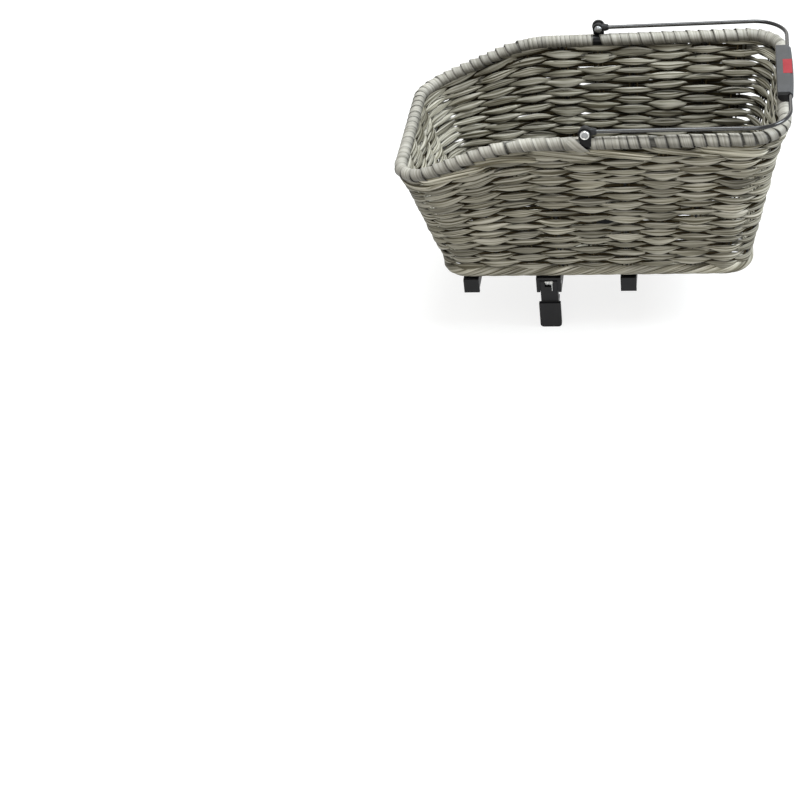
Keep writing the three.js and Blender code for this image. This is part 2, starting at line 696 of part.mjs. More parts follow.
function makeHandle() {
  const handle = new THREE.Group();
  handle.position.set(PIVOT_X, 0, PIVOT_Z);
  basket.add(handle);
  addPiece('bail_rod', bailRod(), finishes.blackSteel, handle);

  const reach = GRIP_LENGTH;
  const wide = BAIL_REACH + GRIP_LENGTH;
  const channel = rod(
    new THREE.Vector3(BAIL_REACH, -reach, 0), new THREE.Vector3(BAIL_REACH, reach, 0),
    BAIL_ROD / 2 + GAP, ROD_SIDES);
  const below = block(0, wide, -reach, reach, -wide, GAP / 2);
  const above = block(0, wide, -reach, reach, -GAP / 2, wide);
  const inlayX = BAIL_REACH + INLAY_OFFSET_X;
  const inlayBox = (extra) => block(
    inlayX - INLAY_WIDTH / 2 - extra, inlayX + INLAY_WIDTH / 2 + extra,
    INLAY_OFFSET_Y - INLAY_LENGTH / 2 - extra, INLAY_OFFSET_Y + INLAY_LENGTH / 2 + extra,
    GRIP_TOP - INLAY_DEPTH - extra, GRIP_TOP + extra);
  addPiece('grip_top', cut(gripBody(), channel, below, inlayBox(GAP)), finishes.greyPlastic, handle);
  addPiece('grip_base', cut(gripBody(), channel, above), finishes.blackPlastic, handle);
  addPiece('grip_inlay', inlayBox(0), finishes.redInlay, handle);

  Object.entries(SIDES).forEach(([side, sign]) => {
    const ring = new THREE.Group();
    ring.position.set(PIVOT_X, sign * RIM_WIDTH / 2, RIM_Z);
    ring.rotation.z = sign === RIGHT ? 0 : Math.PI;
    basket.add(ring);
    const pivot = new THREE.Group();
    pivot.position.z = PIVOT_RISE;
    ring.add(pivot);
    addPiece(`hinge_bracket_${side}`, hingeBracket(), finishes.blackSteel, ring);
    addPiece(`pivot_pin_${side}`, pivotPin(), finishes.brightSteel, pivot);
    addPiece(`pivot_nut_${side}`, pivotNut(), finishes.brightSteel, pivot);
    const arm = new THREE.Group();
    arm.position.y = sign * (RIM_WIDTH / 2 + ARM_OFFSET);
    handle.add(arm);
    addPiece(`bail_knuckle_${side}`, bailKnuckle(), finishes.blackPlastic, arm);
  });
}

// Adapter housing: an open tray with arms over the rails, lips on the near side and a latch hood
function adapterHousing() {
  const tray = plate(roundedPlan(ADAPTER_LENGTH, ADAPTER_WIDTH, ADAPTER_CORNER), 0, ADAPTER_TOP);
  const inside = roundedPlan(
    ADAPTER_LENGTH - 2 * ADAPTER_WALL, ADAPTER_WIDTH - 2 * ADAPTER_WALL, ADAPTER_CORNER - ADAPTER_WALL);
  const well = plate(inside, ADAPTER_BOTTOM, ADAPTER_TOP + THROUGH);
  const root = ADAPTER_WIDTH / 2 - ADAPTER_WALL;
  const trayFace = -ADAPTER_WIDTH / 2 - GAP;
  const arms = [];
  const armHollows = [];
  const screws = [];
  [-1, 1].forEach((end) => {
    const middle = end * HOOK_SPACING / 2;
    const x0 = middle - HOOK_WIDTH / 2;
    const x1 = middle + HOOK_WIDTH / 2;
    arms.push(block(x0, x1, -HOOK_OUTER, -root, 0, ARM_HEIGHT));
    arms.push(block(x0, x1, -HOOK_OUTER, -HOOK_INNER, -NEAR_LIP_DEPTH, ARM_HEIGHT));
    arms.push(block(x0, x1, root, RAIL_OUTER, 0, ARM_HEIGHT));
    armHollows.push(block(
      x0 + ARM_WALL, x1 - ARM_WALL, -HOOK_INNER, trayFace, ADAPTER_BOTTOM, ARM_HEIGHT + THROUGH));
    screws.push(rod(
      new THREE.Vector3(middle, RAIL_OUTER - HOOK_SCREW_DEPTH - GAP, HOOK_SCREW_Z),
      new THREE.Vector3(middle, RAIL_OUTER + THROUGH, HOOK_SCREW_Z), HOOK_SCREW_DIAMETER / 2 + GAP));
  });
  const cheekInner = LEVER_WIDTH / 2 + GAP;
  const cheekOuter = cheekInner + CHEEK_THICKNESS;
  const hoodUnder = LATCH_PIVOT_Z + HUB_DIAMETER / 2 + 2 * GAP;
  const hoodFront = LATCH_PIVOT_Y - HUB_DIAMETER / 2;
  const hood = block(-cheekOuter, cheekOuter, hoodFront, -root, 0, hoodUnder + HOOD_THICKNESS);
  const hoodHollow = block(-cheekInner, cheekInner, hoodFront - HUB_DIAMETER, trayFace, -THROUGH, hoodUnder);
  const pinBore = rod(
    new THREE.Vector3(-cheekOuter - THROUGH, LATCH_PIVOT_Y, LATCH_PIVOT_Z),
    new THREE.Vector3(cheekOuter + THROUGH, LATCH_PIVOT_Y, LATCH_PIVOT_Z), LATCH_PIN / 2 + GAP);
  const bosses = boltPlaces().map(([x, y]) => uprightBore(x, y, BOSS_DIAMETER / 2, 0, ADAPTER_TOP));
  const bolts = boltPlaces().flatMap(([x, y]) => [
    uprightBore(x, y, BOLT_DIAMETER / 2 + GAP, -THROUGH, ADAPTER_TOP + THROUGH),
    hexPrism(x, y, BOLT_NUT_WIDTH + 2 * GAP, -THROUGH, BOLT_NUT_DEPTH + BOLT_NUT_HEIGHT + GAP),
  ]);
  const shell = cut(toSolid(tray), well);
  const housing = shell.add(join(...arms, hood, ...bosses));
  return cut(housing, ...armHollows, hoodHollow, pinBore, ...bolts, ...screws);
}

function hexPrism(x, y, acrossFlats, z0, z1) {
  const radius = acrossFlats / Math.sqrt(3);
  const geometry = new THREE.CylinderGeometry(radius, radius, z1 - z0, 6);
  return geometry.rotateX(Math.PI / 2).translate(x, y, (z0 + z1) / 2);
}

// Far hook: a plate against the arm's end with a lip under the rail
function farHook() {
  const lipTop = -(RAIL_DIAMETER + GAP);
  const shape = new THREE.Shape();
  shape.moveTo(HOOK_INNER, ARM_HEIGHT);
  shape.lineTo(HOOK_INNER, lipTop);
  shape.lineTo(HOOK_INNER - FAR_LIP_REACH, lipTop);
  shape.lineTo(HOOK_INNER - FAR_LIP_REACH, lipTop - FAR_LIP_TIP);
  shape.lineTo(HOOK_INNER, lipTop - HOOK_THICKNESS);
  shape.absarc(HOOK_INNER, lipTop, HOOK_THICKNESS, Math.PI * 1.5, Math.PI * 2);
  shape.lineTo(HOOK_OUTER, ARM_HEIGHT);
  const body = toSolid(prismAlongX(shape, HOOK_WIDTH, SMALL_CORNER_STEPS));
  return cut(body, rod(
    new THREE.Vector3(0, HOOK_INNER - THROUGH, HOOK_SCREW_Z),
    new THREE.Vector3(0, HOOK_OUTER + THROUGH, HOOK_SCREW_Z), HOOK_SCREW_DIAMETER / 2 + GAP));
}

// A domed screw along +Y, drawn with the underside of its head at the origin
function domedScrew(diameter, depth, headDiameter, headHeight) {
  const shank = diameter / 2;
  const head = domedHead(headDiameter / 2, 0, headHeight);
  return turned([[0, -depth], [shank, -depth], [shank, 0], ...head], SCREW_SIDES);
}

// Latch lever: hub on the pin, body outside the rail, catch under the rail and a finger tab
function latchLever() {
  const catchTop = -(RAIL_DIAMETER + GAP);
  const hub = HUB_DIAMETER / 2;
  const shape = new THREE.Shape();
  shape.moveTo(LATCH_PIVOT_Y + hub, LATCH_PIVOT_Z);
  shape.absarc(LATCH_PIVOT_Y, LATCH_PIVOT_Z, hub, 0, Math.PI / 2);
  shape.lineTo(LEVER_OUTER_Y + LEVER_SHOULDER, LATCH_PIVOT_Z + hub);
  shape.lineTo(LEVER_OUTER_Y, LATCH_PIVOT_Z + hub - LEVER_SHOULDER);
  shape.lineTo(LEVER_OUTER_Y, catchTop - CATCH_HEIGHT);
  shape.lineTo(LEVER_INNER_Y, catchTop - CATCH_HEIGHT);
  shape.lineTo(LEVER_INNER_Y + CATCH_REACH, catchTop - CATCH_TIP);
  shape.lineTo(LEVER_INNER_Y + CATCH_REACH, catchTop);
  shape.lineTo(LEVER_INNER_Y, catchTop);
  shape.lineTo(LEVER_INNER_Y, LATCH_PIVOT_Z - hub);
  const body = prismAlongX(shape, LEVER_WIDTH);

  const tabOuter = LEVER_OUTER_Y - TAB_PROUD;
  const half = TAB_WIDTH / 2;
  const tabBottom = TAB_TOP_Z - TAB_LENGTH;
  const tabShape = new THREE.Shape();
  tabShape.moveTo(half, TAB_TOP_Z);
  tabShape.lineTo(-half, TAB_TOP_Z);
  tabShape.absarc(-half + TAB_CORNER, tabBottom + TAB_CORNER, TAB_CORNER, Math.PI, Math.PI * 1.5);
  tabShape.absarc(half - TAB_CORNER, tabBottom + TAB_CORNER, TAB_CORNER, Math.PI * 1.5, Math.PI * 2);
  const tab = prismAlongY(tabShape, TAB_THICKNESS, SMALL_CORNER_STEPS)
    .translate(0, tabOuter + TAB_THICKNESS / 2, 0);

  const springRoom = SPRING_TURNS * SPRING_PITCH / 2 + SPRING_WIRE / 2 + 2 * GAP;
  const coilRoom = SPRING_RADIUS + SPRING_WIRE / 2 + GAP;
  const pinBore = rod(
    new THREE.Vector3(-LEVER_WIDTH, LATCH_PIVOT_Y, LATCH_PIVOT_Z),
    new THREE.Vector3(LEVER_WIDTH, LATCH_PIVOT_Y, LATCH_PIVOT_Z), LATCH_PIN / 2 + GAP);
  const notch = block(
    -springRoom, springRoom, LATCH_PIVOT_Y - coilRoom, LATCH_PIVOT_Y + HUB_DIAMETER,
    LATCH_PIVOT_Z - coilRoom, LATCH_PIVOT_Z + HUB_DIAMETER);
  const legY = LATCH_PIVOT_Y - SPRING_RADIUS;
  const legRoom = SPRING_WIRE / 2 + GAP;
  const legX = SPRING_TURNS * SPRING_PITCH / 2;
  const legSlot = block(
    legX - legRoom, legX + legRoom, legY - legRoom, legY + legRoom,
    LATCH_PIVOT_Z - HUB_DIAMETER - GAP, LATCH_PIVOT_Z);
  return cut(join(body, tab), pinBore, notch, legSlot);
}

// Torsion spring: one leg back to the hood, a few coils round the pin, one leg down in the lever
function latchSpring() {
  const half = SPRING_TURNS * SPRING_PITCH / 2;
  const points = [];
  points.push(new THREE.Vector3(-half, LATCH_PIVOT_Y + HUB_DIAMETER, LATCH_PIVOT_Z + SPRING_RADIUS));
  const sweep = SPRING_TURNS * 2 * Math.PI + Math.PI / 2;
  const steps = Math.round(SPRING_STEPS_PER_TURN * sweep / (2 * Math.PI));
  for (let i = 0; i <= steps; i += 1) {
    const share = i / steps;
    const angle = Math.PI / 2 + share * sweep;
    points.push(new THREE.Vector3(
      -half + share * 2 * half,
      LATCH_PIVOT_Y + SPRING_RADIUS * Math.cos(angle),
      LATCH_PIVOT_Z + SPRING_RADIUS * Math.sin(angle)));
  }
  points.push(new THREE.Vector3(half, LATCH_PIVOT_Y - SPRING_RADIUS, LATCH_PIVOT_Z - HUB_DIAMETER));
  const acrossWire = new THREE.Vector3(1, 0, 0);
  const rings = points.map((point, i) => {
    const before = points[Math.max(i - 1, 0)];
    const after = points[Math.min(i + 1, points.length - 1)];
    const along = new THREE.Vector3().subVectors(after, before).normalize();
    const out = acrossWire.clone().addScaledVector(along, -acrossWire.dot(along)).normalize();
    const up = new THREE.Vector3().crossVectors(along, out);
    return Array.from({ length: SPRING_SIDES }, (_, j) => {
      const angle = j * 2 * Math.PI / SPRING_SIDES;
      return point.clone()
        .addScaledVector(out, SPRING_WIRE / 2 * Math.cos(angle))
        .addScaledVector(up, SPRING_WIRE / 2 * Math.sin(angle));
    });
  });
  console.log(`latch spring: least gap between coils ${leastCoilGap(points).toFixed(2)} mm`);
  return skin(rings, false);
}

function leastCoilGap(points) {
  let least = Infinity;
  const nextCoil = SPRING_STEPS_PER_TURN - 2;
  points.forEach((a, i) => points.slice(i + nextCoil).forEach((b) => {
    least = Math.min(least, a.distanceTo(b) - SPRING_WIRE);
  }));
  return least;
}

function makeAdapter() {
  addPiece('adapter_housing', adapterHousing(), finishes.blackPlastic);
  Object.entries({ front: -1, rear: 1 }).forEach(([end, sign]) => {
    const place = new THREE.Group();
    place.position.x = sign * HOOK_SPACING / 2;
    basket.add(place);
    addPiece(`far_hook_${end}`, farHook(), finishes.blackPlastic, place);
    const seat = new THREE.Group();
    seat.position.set(0, HOOK_OUTER + GAP, HOOK_SCREW_Z);
    place.add(seat);
    const reach = HOOK_THICKNESS + 2 * GAP + HOOK_SCREW_DEPTH;
    const screw = domedScrew(HOOK_SCREW_DIAMETER, reach, HOOK_SCREW_HEAD, HOOK_SCREW_HEAD_HEIGHT);
    addPiece(`far_hook_screw_${end}`, screw, finishes.brightSteel, seat);

    const plan = roundedPlan(
      CLAMP_PLATE_WIDTH, BOLT_SPACING_Y + CLAMP_PLATE_WIDTH, CLAMP_PLATE_WIDTH / 2 - GAP);
    const strap = plate(plan, FLOOR_TOP + GAP, FLOOR_TOP + GAP + CLAMP_PLATE_THICKNESS)
      .translate(sign * BOLT_SPACING_X / 2, 0, 0);
    const holes = boltPlaces().map(([x, y]) => uprightBore(
      x, y, BOLT_DIAMETER / 2 + GAP, FLOOR_TOP, FLOOR_TOP + CLAMP_PLATE_WIDTH));
    addPiece(`clamp_plate_${end}`, cut(toSolid(strap), ...holes), finishes.blackSteel);
  });

  const headSeat = FLOOR_TOP + CLAMP_PLATE_THICKNESS + 2 * GAP;
  boltPlaces().forEach(([x, y], i) => {
    const bolt = domedScrew(BOLT_DIAMETER, headSeat - BOLT_NUT_DEPTH, BOLT_HEAD_DIAMETER, BOLT_HEAD_HEIGHT);
    bolt.rotateX(Math.PI / 2).translate(x, y, headSeat);
    addPiece(`floor_bolt_${i + 1}`, bolt, finishes.brightSteel);
    const nut = toSolid(hexPrism(x, y, BOLT_NUT_WIDTH, BOLT_NUT_DEPTH, BOLT_NUT_DEPTH + BOLT_NUT_HEIGHT));
    const bore = uprightBore(x, y, BOLT_DIAMETER / 2 + GAP, -THROUGH, ADAPTER_TOP);
    addPiece(`floor_nut_${i + 1}`, cut(nut, bore), finishes.brightSteel);
  });

  addPiece('latch_lever', latchLever(), finishes.blackPlastic);
  const pinHalf = LEVER_WIDTH / 2 + GAP + CHEEK_THICKNESS;
  addPiece('latch_pin', rod(
    new THREE.Vector3(-pinHalf, LATCH_PIVOT_Y, LATCH_PIVOT_Z),
    new THREE.Vector3(pinHalf, LATCH_PIVOT_Y, LATCH_PIVOT_Z), LATCH_PIN / 2), finishes.brightSteel);
  addPiece('latch_spring', latchSpring(), finishes.brightSteel);
}

makeBasket();
makeHandle();
makeAdapter();

export default basket;
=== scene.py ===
import json
import math

import bmesh
import bpy
import numpy as np
from mathutils import Matrix, Vector


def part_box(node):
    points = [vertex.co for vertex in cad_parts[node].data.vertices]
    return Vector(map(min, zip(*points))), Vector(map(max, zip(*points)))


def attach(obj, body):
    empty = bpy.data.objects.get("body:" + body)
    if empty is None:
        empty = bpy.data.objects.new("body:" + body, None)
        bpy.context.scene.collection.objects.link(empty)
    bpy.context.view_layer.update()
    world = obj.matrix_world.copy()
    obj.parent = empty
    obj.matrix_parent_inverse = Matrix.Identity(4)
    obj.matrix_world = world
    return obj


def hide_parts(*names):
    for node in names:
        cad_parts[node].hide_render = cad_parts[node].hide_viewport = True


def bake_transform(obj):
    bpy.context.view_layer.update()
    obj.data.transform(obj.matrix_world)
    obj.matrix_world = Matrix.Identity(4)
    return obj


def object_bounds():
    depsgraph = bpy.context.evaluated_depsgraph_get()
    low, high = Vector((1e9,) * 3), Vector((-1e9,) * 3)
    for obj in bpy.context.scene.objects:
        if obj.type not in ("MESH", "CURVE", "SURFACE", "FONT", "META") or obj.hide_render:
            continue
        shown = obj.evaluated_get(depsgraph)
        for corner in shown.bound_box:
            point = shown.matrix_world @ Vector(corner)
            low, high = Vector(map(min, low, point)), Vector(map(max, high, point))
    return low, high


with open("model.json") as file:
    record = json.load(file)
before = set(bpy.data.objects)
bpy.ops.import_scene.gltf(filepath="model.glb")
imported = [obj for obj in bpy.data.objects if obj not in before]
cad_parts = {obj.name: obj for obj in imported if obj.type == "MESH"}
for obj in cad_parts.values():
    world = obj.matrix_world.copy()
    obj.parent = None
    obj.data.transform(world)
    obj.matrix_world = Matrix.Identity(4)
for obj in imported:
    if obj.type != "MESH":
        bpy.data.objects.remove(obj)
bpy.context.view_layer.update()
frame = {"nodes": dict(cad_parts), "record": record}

MM = 0.001
RANDOM = np.random.default_rng(28)

# Outlines of the basket, repeated from the part
RIM_LENGTH, RIM_WIDTH, RIM_CORNER, RIM_CENTRE_X = 420.5 * MM, 243.6 * MM, 40 * MM, 52.5 * MM
FOOT_LENGTH, FOOT_WIDTH, FOOT_CORNER, FOOT_CENTRE_X = 342 * MM, 186 * MM, 26 * MM, 54.5 * MM
FOOT_BORDER = 12 * MM
RIM_WRAP = 14 * MM
FOOT_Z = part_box("foot_border")[0].z + FOOT_BORDER / 2
RIM_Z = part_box("rim_wrap_rear")[1].z - RIM_WRAP / 2
FRONT_DROP = 47.4 * MM
SLOPE_START_X, SLOPE_END_X, SLOPE_ROUNDING = -32 * MM, -150 * MM, 30 * MM
CORNER_STEPS = 24

# Weave of the wall: rows of flat strands that bulge over each stake
STAKES, STAKE_OFFSET, WEAVE_ROWS = 30, 0.5, 29
WEAVE_SWING, SWING_POWER = 2.7 * MM, 0.9
STRAND_HALF_WIDTH, STRAND_HALF_THICKNESS = 4.9 * MM, 1.3 * MM
STRAND_WAIST, WAIST_POWER, TIP_POWER = 0.4, 1.6, 1.5
OUTER_TILT, INNER_TILT = 0.26, 0.16
STRAND_TONE, TONE_LIMITS = 0.67, (0.25, 1.1)
# painted shade on faces that dip into the wall and at the strands' edges; the third value paints light onto
# the inner faces
DEEP_SHADE, SHADE_POWER, INNER_FACE_LIGHT, EDGE_SHADE = 0.95, 0.9, 0.07, 0.5
SAMPLES_PER_STAKE = 14

# How far a row wanders from stake to stake, as standard deviations
STAKE_WANDER = 0.06                     # of the stakes' spacing
ROW_WANDER, TIP_WANDER = 0.2, 0.14      # of the rows' spacing, all along and at the leaves' tips
DEPTH_WANDER, WIDTH_WANDER = 0.3 * MM, 0.7 * MM
TONE_WANDER, ROLL_WANDER = 0.14, 0.1

# Ends of a row, in stakes: how far past a stake they reach, and over which length they are drawn in and
# narrowed to a share of the width; a row may start at any of a few stakes
ROW_STARTS = 6
END_REACH, END_DRAWN, END_WIDTH = 0.45, 0.6, 0.5

# Thin strands beside the rows
THIN_STRAND, THIN_FLATNESS = 1.3 * MM, 0.7
THIN_PER_ROW, THIN_STAKES, THIN_END = 2, (2, 6), 0.4
THIN_LIFT, THIN_LIFT_WANDER = 0.4 * MM, 0.5 * MM

# Long strands that slope down from the rim
WALE_STRANDS, WALE_STAKES, WALE_LIFTS = 20, 2.2, (0, 4.2 * MM)
WALE_TOP, WALE_HEIGHT, WALE_LEAN = 0.1, 15 * MM, 1.5 * MM
WALE_HALF_WIDTH, WALE_HALF_THICKNESS = 2.5 * MM, 1.5 * MM
WALE_OUT, WALE_IN = 1.3, 0.8            # in swings of the weave
WALE_TONES, WALE_SHADE, WALE_ROLL = (0.75, 1.3), 1.1, -0.3
WALE_WANDER, WALE_WIDTH_WANDER, WALE_START_WANDER, WALE_ROLL_WANDER = 0.6 * MM, 0.15, 0.12, 0.12

# Dark wires at the stakes, and dark cords in the middle of the wall as painted shade in the slits beside the
# leaves; a share of the slits stays open
STAKE_WIRES, WIRE_POINTS, CORD_POINTS = 3, 9, 6
STAKE_WIRE, STAKE_WIRE_SPACING = 1.9 * MM, 4.6 * MM
SHADE_CORD, SHADE_CORD_THICKNESS, SHADE_CORD_TONE = 2.4 * MM, 0.4 * MM, 0.25
OPEN_AT_CORNERS, OPEN_AT_SIDES, CORNER_BEND = 0.85, 0.06, 0.2

# Wire frame inside the weave, and the floor's rows over its cross wires
RING_WIRE, FOOT_WIRE, UPRIGHT_WIRE, FLOOR_WIRE = 6 * MM, 5 * MM, 3 * MM, 4 * MM
UPRIGHTS, WIRE_TONE = 14, 0.5
FLOOR_WIRES, FLOOR_CORDS = (-2, 0, 2), (-3, -1, 1, 3)
FLOOR_STAKE, FLOOR_CORD = 42 * MM, 2.4 * MM
FLOOR_ROW, FLOOR_STEP, FLOOR_TUCK = 6.7 * MM, 3 * MM, 5 * MM
FLOOR_SWING, FLOOR_SWING_POWER, FLOOR_WAIST = 3 * MM, 0.75, 0.5
FLOOR_TONES, FLOOR_SHADE = (0.35, 1.0), 0.6
FLOOR_WIDTH_WANDER, FLOOR_ROLL_WANDER = 0.1, 0.08

# Rim binding
HALF_END, HINGE_STRETCH, HINGE_GAP = 0.05, 38 * MM, 6.5 * MM
PITCH_WANDER, COVER_WANDER = 0.1, 0.02
# painted shade: the core's dark tones stand for the shade in the gaps between the turns, darkest where the
# band leaves it bare
CORE_DIAMETER, CORE_TONE, BARE_CORE_SHADE = 11 * MM, 0.3, -0.1
BAND_THICKNESS, BAND_ROLL, SAMPLES_PER_TURN = 0.7 * MM, 0.035, 26
# painted shade: the middle value darkens each band towards the rim's underside, the last darkens its edges
BAND_TONES, BAND_UNDERSIDE_SHADE, BAND_EDGE_SHADE = (0.75, 1.08), 0.7, 0.7
BINDING_JOINTS = ((-26.5 * MM, -1), (129 * MM, -1))
# the last value is how far either side of a joint the core takes its darkest painted shade
JOINT_GAP, JOINT_CUT, JOINT_SHADE_REACH = 4.2 * MM, 0.15, 14 * MM
BARE_FROM, BARE_TO = 30 * MM, 0.93      # way behind the left hinge, share of the rim

# The binding's last turn before the left hinge: degrees from the outside up, way along the rim and reach
WRAP_POINTS, WRAP_ANGLES, WRAP_RUN = 40, (70, -95), (-17 * MM, 7 * MM)
WRAP_OUT, WRAP_UP, WRAP_HALF_WIDTH, WRAP_TONE = 8.6 * MM, 7.7 * MM, 5 * MM, 0.8

# Foot border, a rope of flat strands
BORDER_STRANDS, BORDER_LAY = 5, 105 * MM
BORDER_HEIGHT, BORDER_DEPTH, BORDER_SAG = 13 * MM, 12.5 * MM, 1.6 * MM
BORDER_HALF_WIDTH, BORDER_HALF_THICKNESS = 4.0 * MM, 2.4 * MM
# the last value is the core's painted shade, seen in the grooves between the strands
BORDER_TONES, BORDER_CORE_SHADE = (0.35, 1.15), 0.2
BORDER_POINTS = 420

# Handle and hinges, as in the part
PIVOT_X = 54 * MM
BAIL_CORNER, CORNER_PULL = 38 * MM, 0.45
ROD_DIAMETER = 4.4 * MM
GRIP_INNER, GRIP_OUTER, GRIP_OUTER_END = 13.2 * MM, 5 * MM, 3.6 * MM
GRIP_TOP, GRIP_CHAMFER, GRIP_EDGE, GRIP_BELLY = 4.3 * MM, 3.6 * MM, 0.7 * MM, 4 * MM
GRIP_SPLIT, GRIP_ROUNDING, BELLY_ROUNDING, GRIP_END_SHRINK = 0.15 * MM, 0.9 * MM, 2.2 * MM, 0.06
INLAY_PROUD = 0.15 * MM
PIN_SHANK, PIN_HEAD, PIN_HOLLOW = 2.2 * MM, 2.8 * MM, 1.1 * MM
PIN_RING, PIN_CROWN, PIN_BORE, NUT_CROWN = 0.94, 0.78, 0.62, 0.25    # of the head's or the nut's radius
PIN_EDGE, NUT_EDGE = 0.9 * MM, 1.6 * MM
PIN_LIP, PIN_LIP_DROP = 0.15 * MM, 0.25 * MM
PIN_END_PLAY, PIN_END_FOOT, PIN_END_RIM, PIN_END_TOP = 0.02 * MM, -0.2 * MM, 0.15 * MM, 0.3 * MM
KNUCKLE_BORE, KNUCKLE_EDGE = 2.5 * MM, 0.6 * MM
ROD_SOCKET = ((0, 3), (4.6, 3), (4.2, 8), (3.6, 11), (3.0, 12), (0, 12))    # mm: radius, way along the rod
BRACKET_EDGE, MOULDED_EDGE, INLAY_EDGE = 0.5 * MM, 0.8 * MM, 0.3 * MM
TURNED_SIDES = 48

# Latch spring, as in the part
SPRING_WIRE, SPRING_RADIUS, SPRING_LEG = 1.2 * MM, 3.4 * MM, 10 * MM
SPRING_TURNS, SPRING_PITCH, SPRING_STEPS = 4, 1.75 * MM, 32
LATCH_PIVOT_Y, LATCH_PIVOT_Z = -85.7 * MM, 11 * MM

# The photograph's camera
CAMERA_PLACE = Vector((203, -1813, 1168)) * MM
CAMERA_YAW, CAMERA_PITCH, CAMERA_ROLL = map(math.radians, (12.94, -36.87, -7.8))
FOCAL_PIXELS, PICTURE_PIXELS, SENSOR_WIDTH = 1799, 800, 36

# Studio: disc lamps by place, size in metres, watts and tint, all turned to the basket's middle
LIT_MIDDLE = (0.05, 0, 0.12)
COOL, COOLER, WARM = (0.92, 0.97, 1.0), (0.86, 0.93, 1.0), (1.0, 0.97, 0.9)
LAMPS = (("Key", (0.0, 0.0, 2.25), 1.1, 44, COOL), ("Fill", (0.1, -2.0, 0.45), 0.9, 12, WARM),
         ("Rear", (1.7, -0.1, 1.3), 0.8, 40, COOLER), ("Back", (0.2, 2.0, 1.0), 1.2, 5, WARM))
STAGE_HALF, STAGE_BELOW, STAGE_GLOW = 6.0, 0.5 * MM, 0.8
OVERCAST = (0.15, 0.75)     # strength of the sky's light, from the horizon to the top

UP = (0.0, 0.0, 1.0)


def colour(hex_code):
    """Linear colour with alpha from an sRGB hex value."""
    parts = [int(hex_code[i:i + 2], 16) / 255 for i in (1, 3, 5)]
    linear = [p / 12.92 if p <= 0.04045 else ((p + 0.055) / 1.055) ** 2.4 for p in parts]
    return (*linear, 1.0)


def add(tree, kind, inputs=None, **settings):
    """Adds a node with its settings; an input is a value, or the output that feeds it."""
    node = tree.nodes.new(kind)
    for key, value in settings.items():
        setattr(node, key, value)
    for key, value in (inputs or {}).items():
        if isinstance(value, bpy.types.NodeSocket):
            tree.links.new(value, node.inputs[key])
        else:
            node.inputs[key].default_value = value
    return node


def maths(tree, operation, *values):
    """Result of a math node."""
    return add(tree, "ShaderNodeMath", dict(enumerate(values)), operation=operation).outputs[0]


def ranged(tree, value, span=(0.0, 1.0), to_span=(0.0, 1.0)):
    """A value carried over from one span to another."""
    names = ("Value", "From Min", "From Max", "To Min", "To Max")
    return add(tree, "ShaderNodeMapRange", dict(zip(names, (value, *span, *to_span)))).outputs[0]


def scaled(tree, vector, factor):
    return add(tree, "ShaderNodeVectorMath", {0: vector, "Scale": factor}, operation="SCALE").outputs[0]


def summed(tree, one, other):
    return add(tree, "ShaderNodeVectorMath", {0: one, 1: other}, operation="ADD").outputs[0]


def noise(tree, place, scale, detail, roughness=0.5):
    inputs = {"Vector": place, "Scale": scale, "Detail": detail, "Roughness": roughness}
    return add(tree, "ShaderNodeTexNoise", inputs).outputs["Fac"]


def new_material(name):
    """An empty material with its shader and output joined: (material, tree, shader)."""
    material = bpy.data.materials.new(name)
    material.use_nodes = True
    tree = material.node_tree
    tree.nodes.clear()
    shader = add(tree, "ShaderNodeBsdfPrincipled")
    add(tree, "ShaderNodeOutputMaterial", {"Surface": shader.outputs["BSDF"]})
    return material, tree, shader


def set_surface(tree, shader, base, pattern, roughness, bump_strength, bump_depth):
    """Joins a colour to the shader, and a fine pattern as its roughness and its bump."""
    tree.links.new(base, shader.inputs["Base Color"])
    tree.links.new(ranged(tree, pattern, to_span=roughness), shader.inputs["Roughness"])
    bump = add(tree, "ShaderNodeBump",
               {"Height": pattern, "Strength": bump_strength, "Distance": bump_depth})
    tree.links.new(bump.outputs["Normal"], shader.inputs["Normal"])


# Materials

FIBRE_WIDTH = 2.0 * MM      # real fibres are about 0.3 mm, drawn coarser so that they show
FIBRE_LENGTH = 110 * MM
STAIN_SIZE = 55 * MM
STRAND_TONES, STAIN_TONES = (0.22, 1.77), (0.92, 1.06)
STRAND_IOR, PLASTIC_IOR = 1.47, 1.5
DRIFT_GRAINS = 24


def woven_strand(name, dark, middle, light, roughness, relief, shine=0.3):
    """Extruded flat strand of a rattan-like plastic: matt, streaked lengthwise, no two strands alike."""
    material, tree, shader = new_material(name)
    marks = add(tree, "ShaderNodeAttribute", attribute_name="strand").outputs["Vector"]
    parts = add(tree, "ShaderNodeSeparateXYZ", {0: marks}).outputs
    along = maths(tree, "MULTIPLY", parts["X"], 1 / FIBRE_LENGTH)
    across = maths(tree, "MULTIPLY", parts["Y"], 1 / FIBRE_WIDTH)
    place = add(tree, "ShaderNodeCombineXYZ", {"X": along, "Y": across}).outputs[0]
    fibre = noise(tree, place, 1.0, 3.0, 0.55)
    streak = add(tree, "ShaderNodeValToRGB", {"Fac": fibre})
    ramp = streak.color_ramp
    ramp.elements[0].position, ramp.elements[0].color = 0.38, colour(dark)
    ramp.elements[1].position, ramp.elements[1].color = 0.63, colour(light)
    ramp.elements.new(0.5).color = colour(middle)
    # each strand has its own tone, with painted shade and light in it, and wide stains run over all of them
    tone = ranged(tree, parts["Z"], (0.0, 1.5), STRAND_TONES)
    object_place = add(tree, "ShaderNodeTexCoord").outputs["Object"]
    stain = ranged(tree, noise(tree, object_place, 1 / STAIN_SIZE, 2.0), (0.3, 0.7), STAIN_TONES)
    toned = scaled(tree, streak.outputs["Color"], maths(tree, "MULTIPLY", tone, stain))
    set_surface(tree, shader, toned, fibre, (roughness + 0.12, roughness - 0.1), 0.6, relief)
    shader.inputs["IOR"].default_value = STRAND_IOR
    shader.inputs["Specular IOR Level"].default_value = shine
    return material


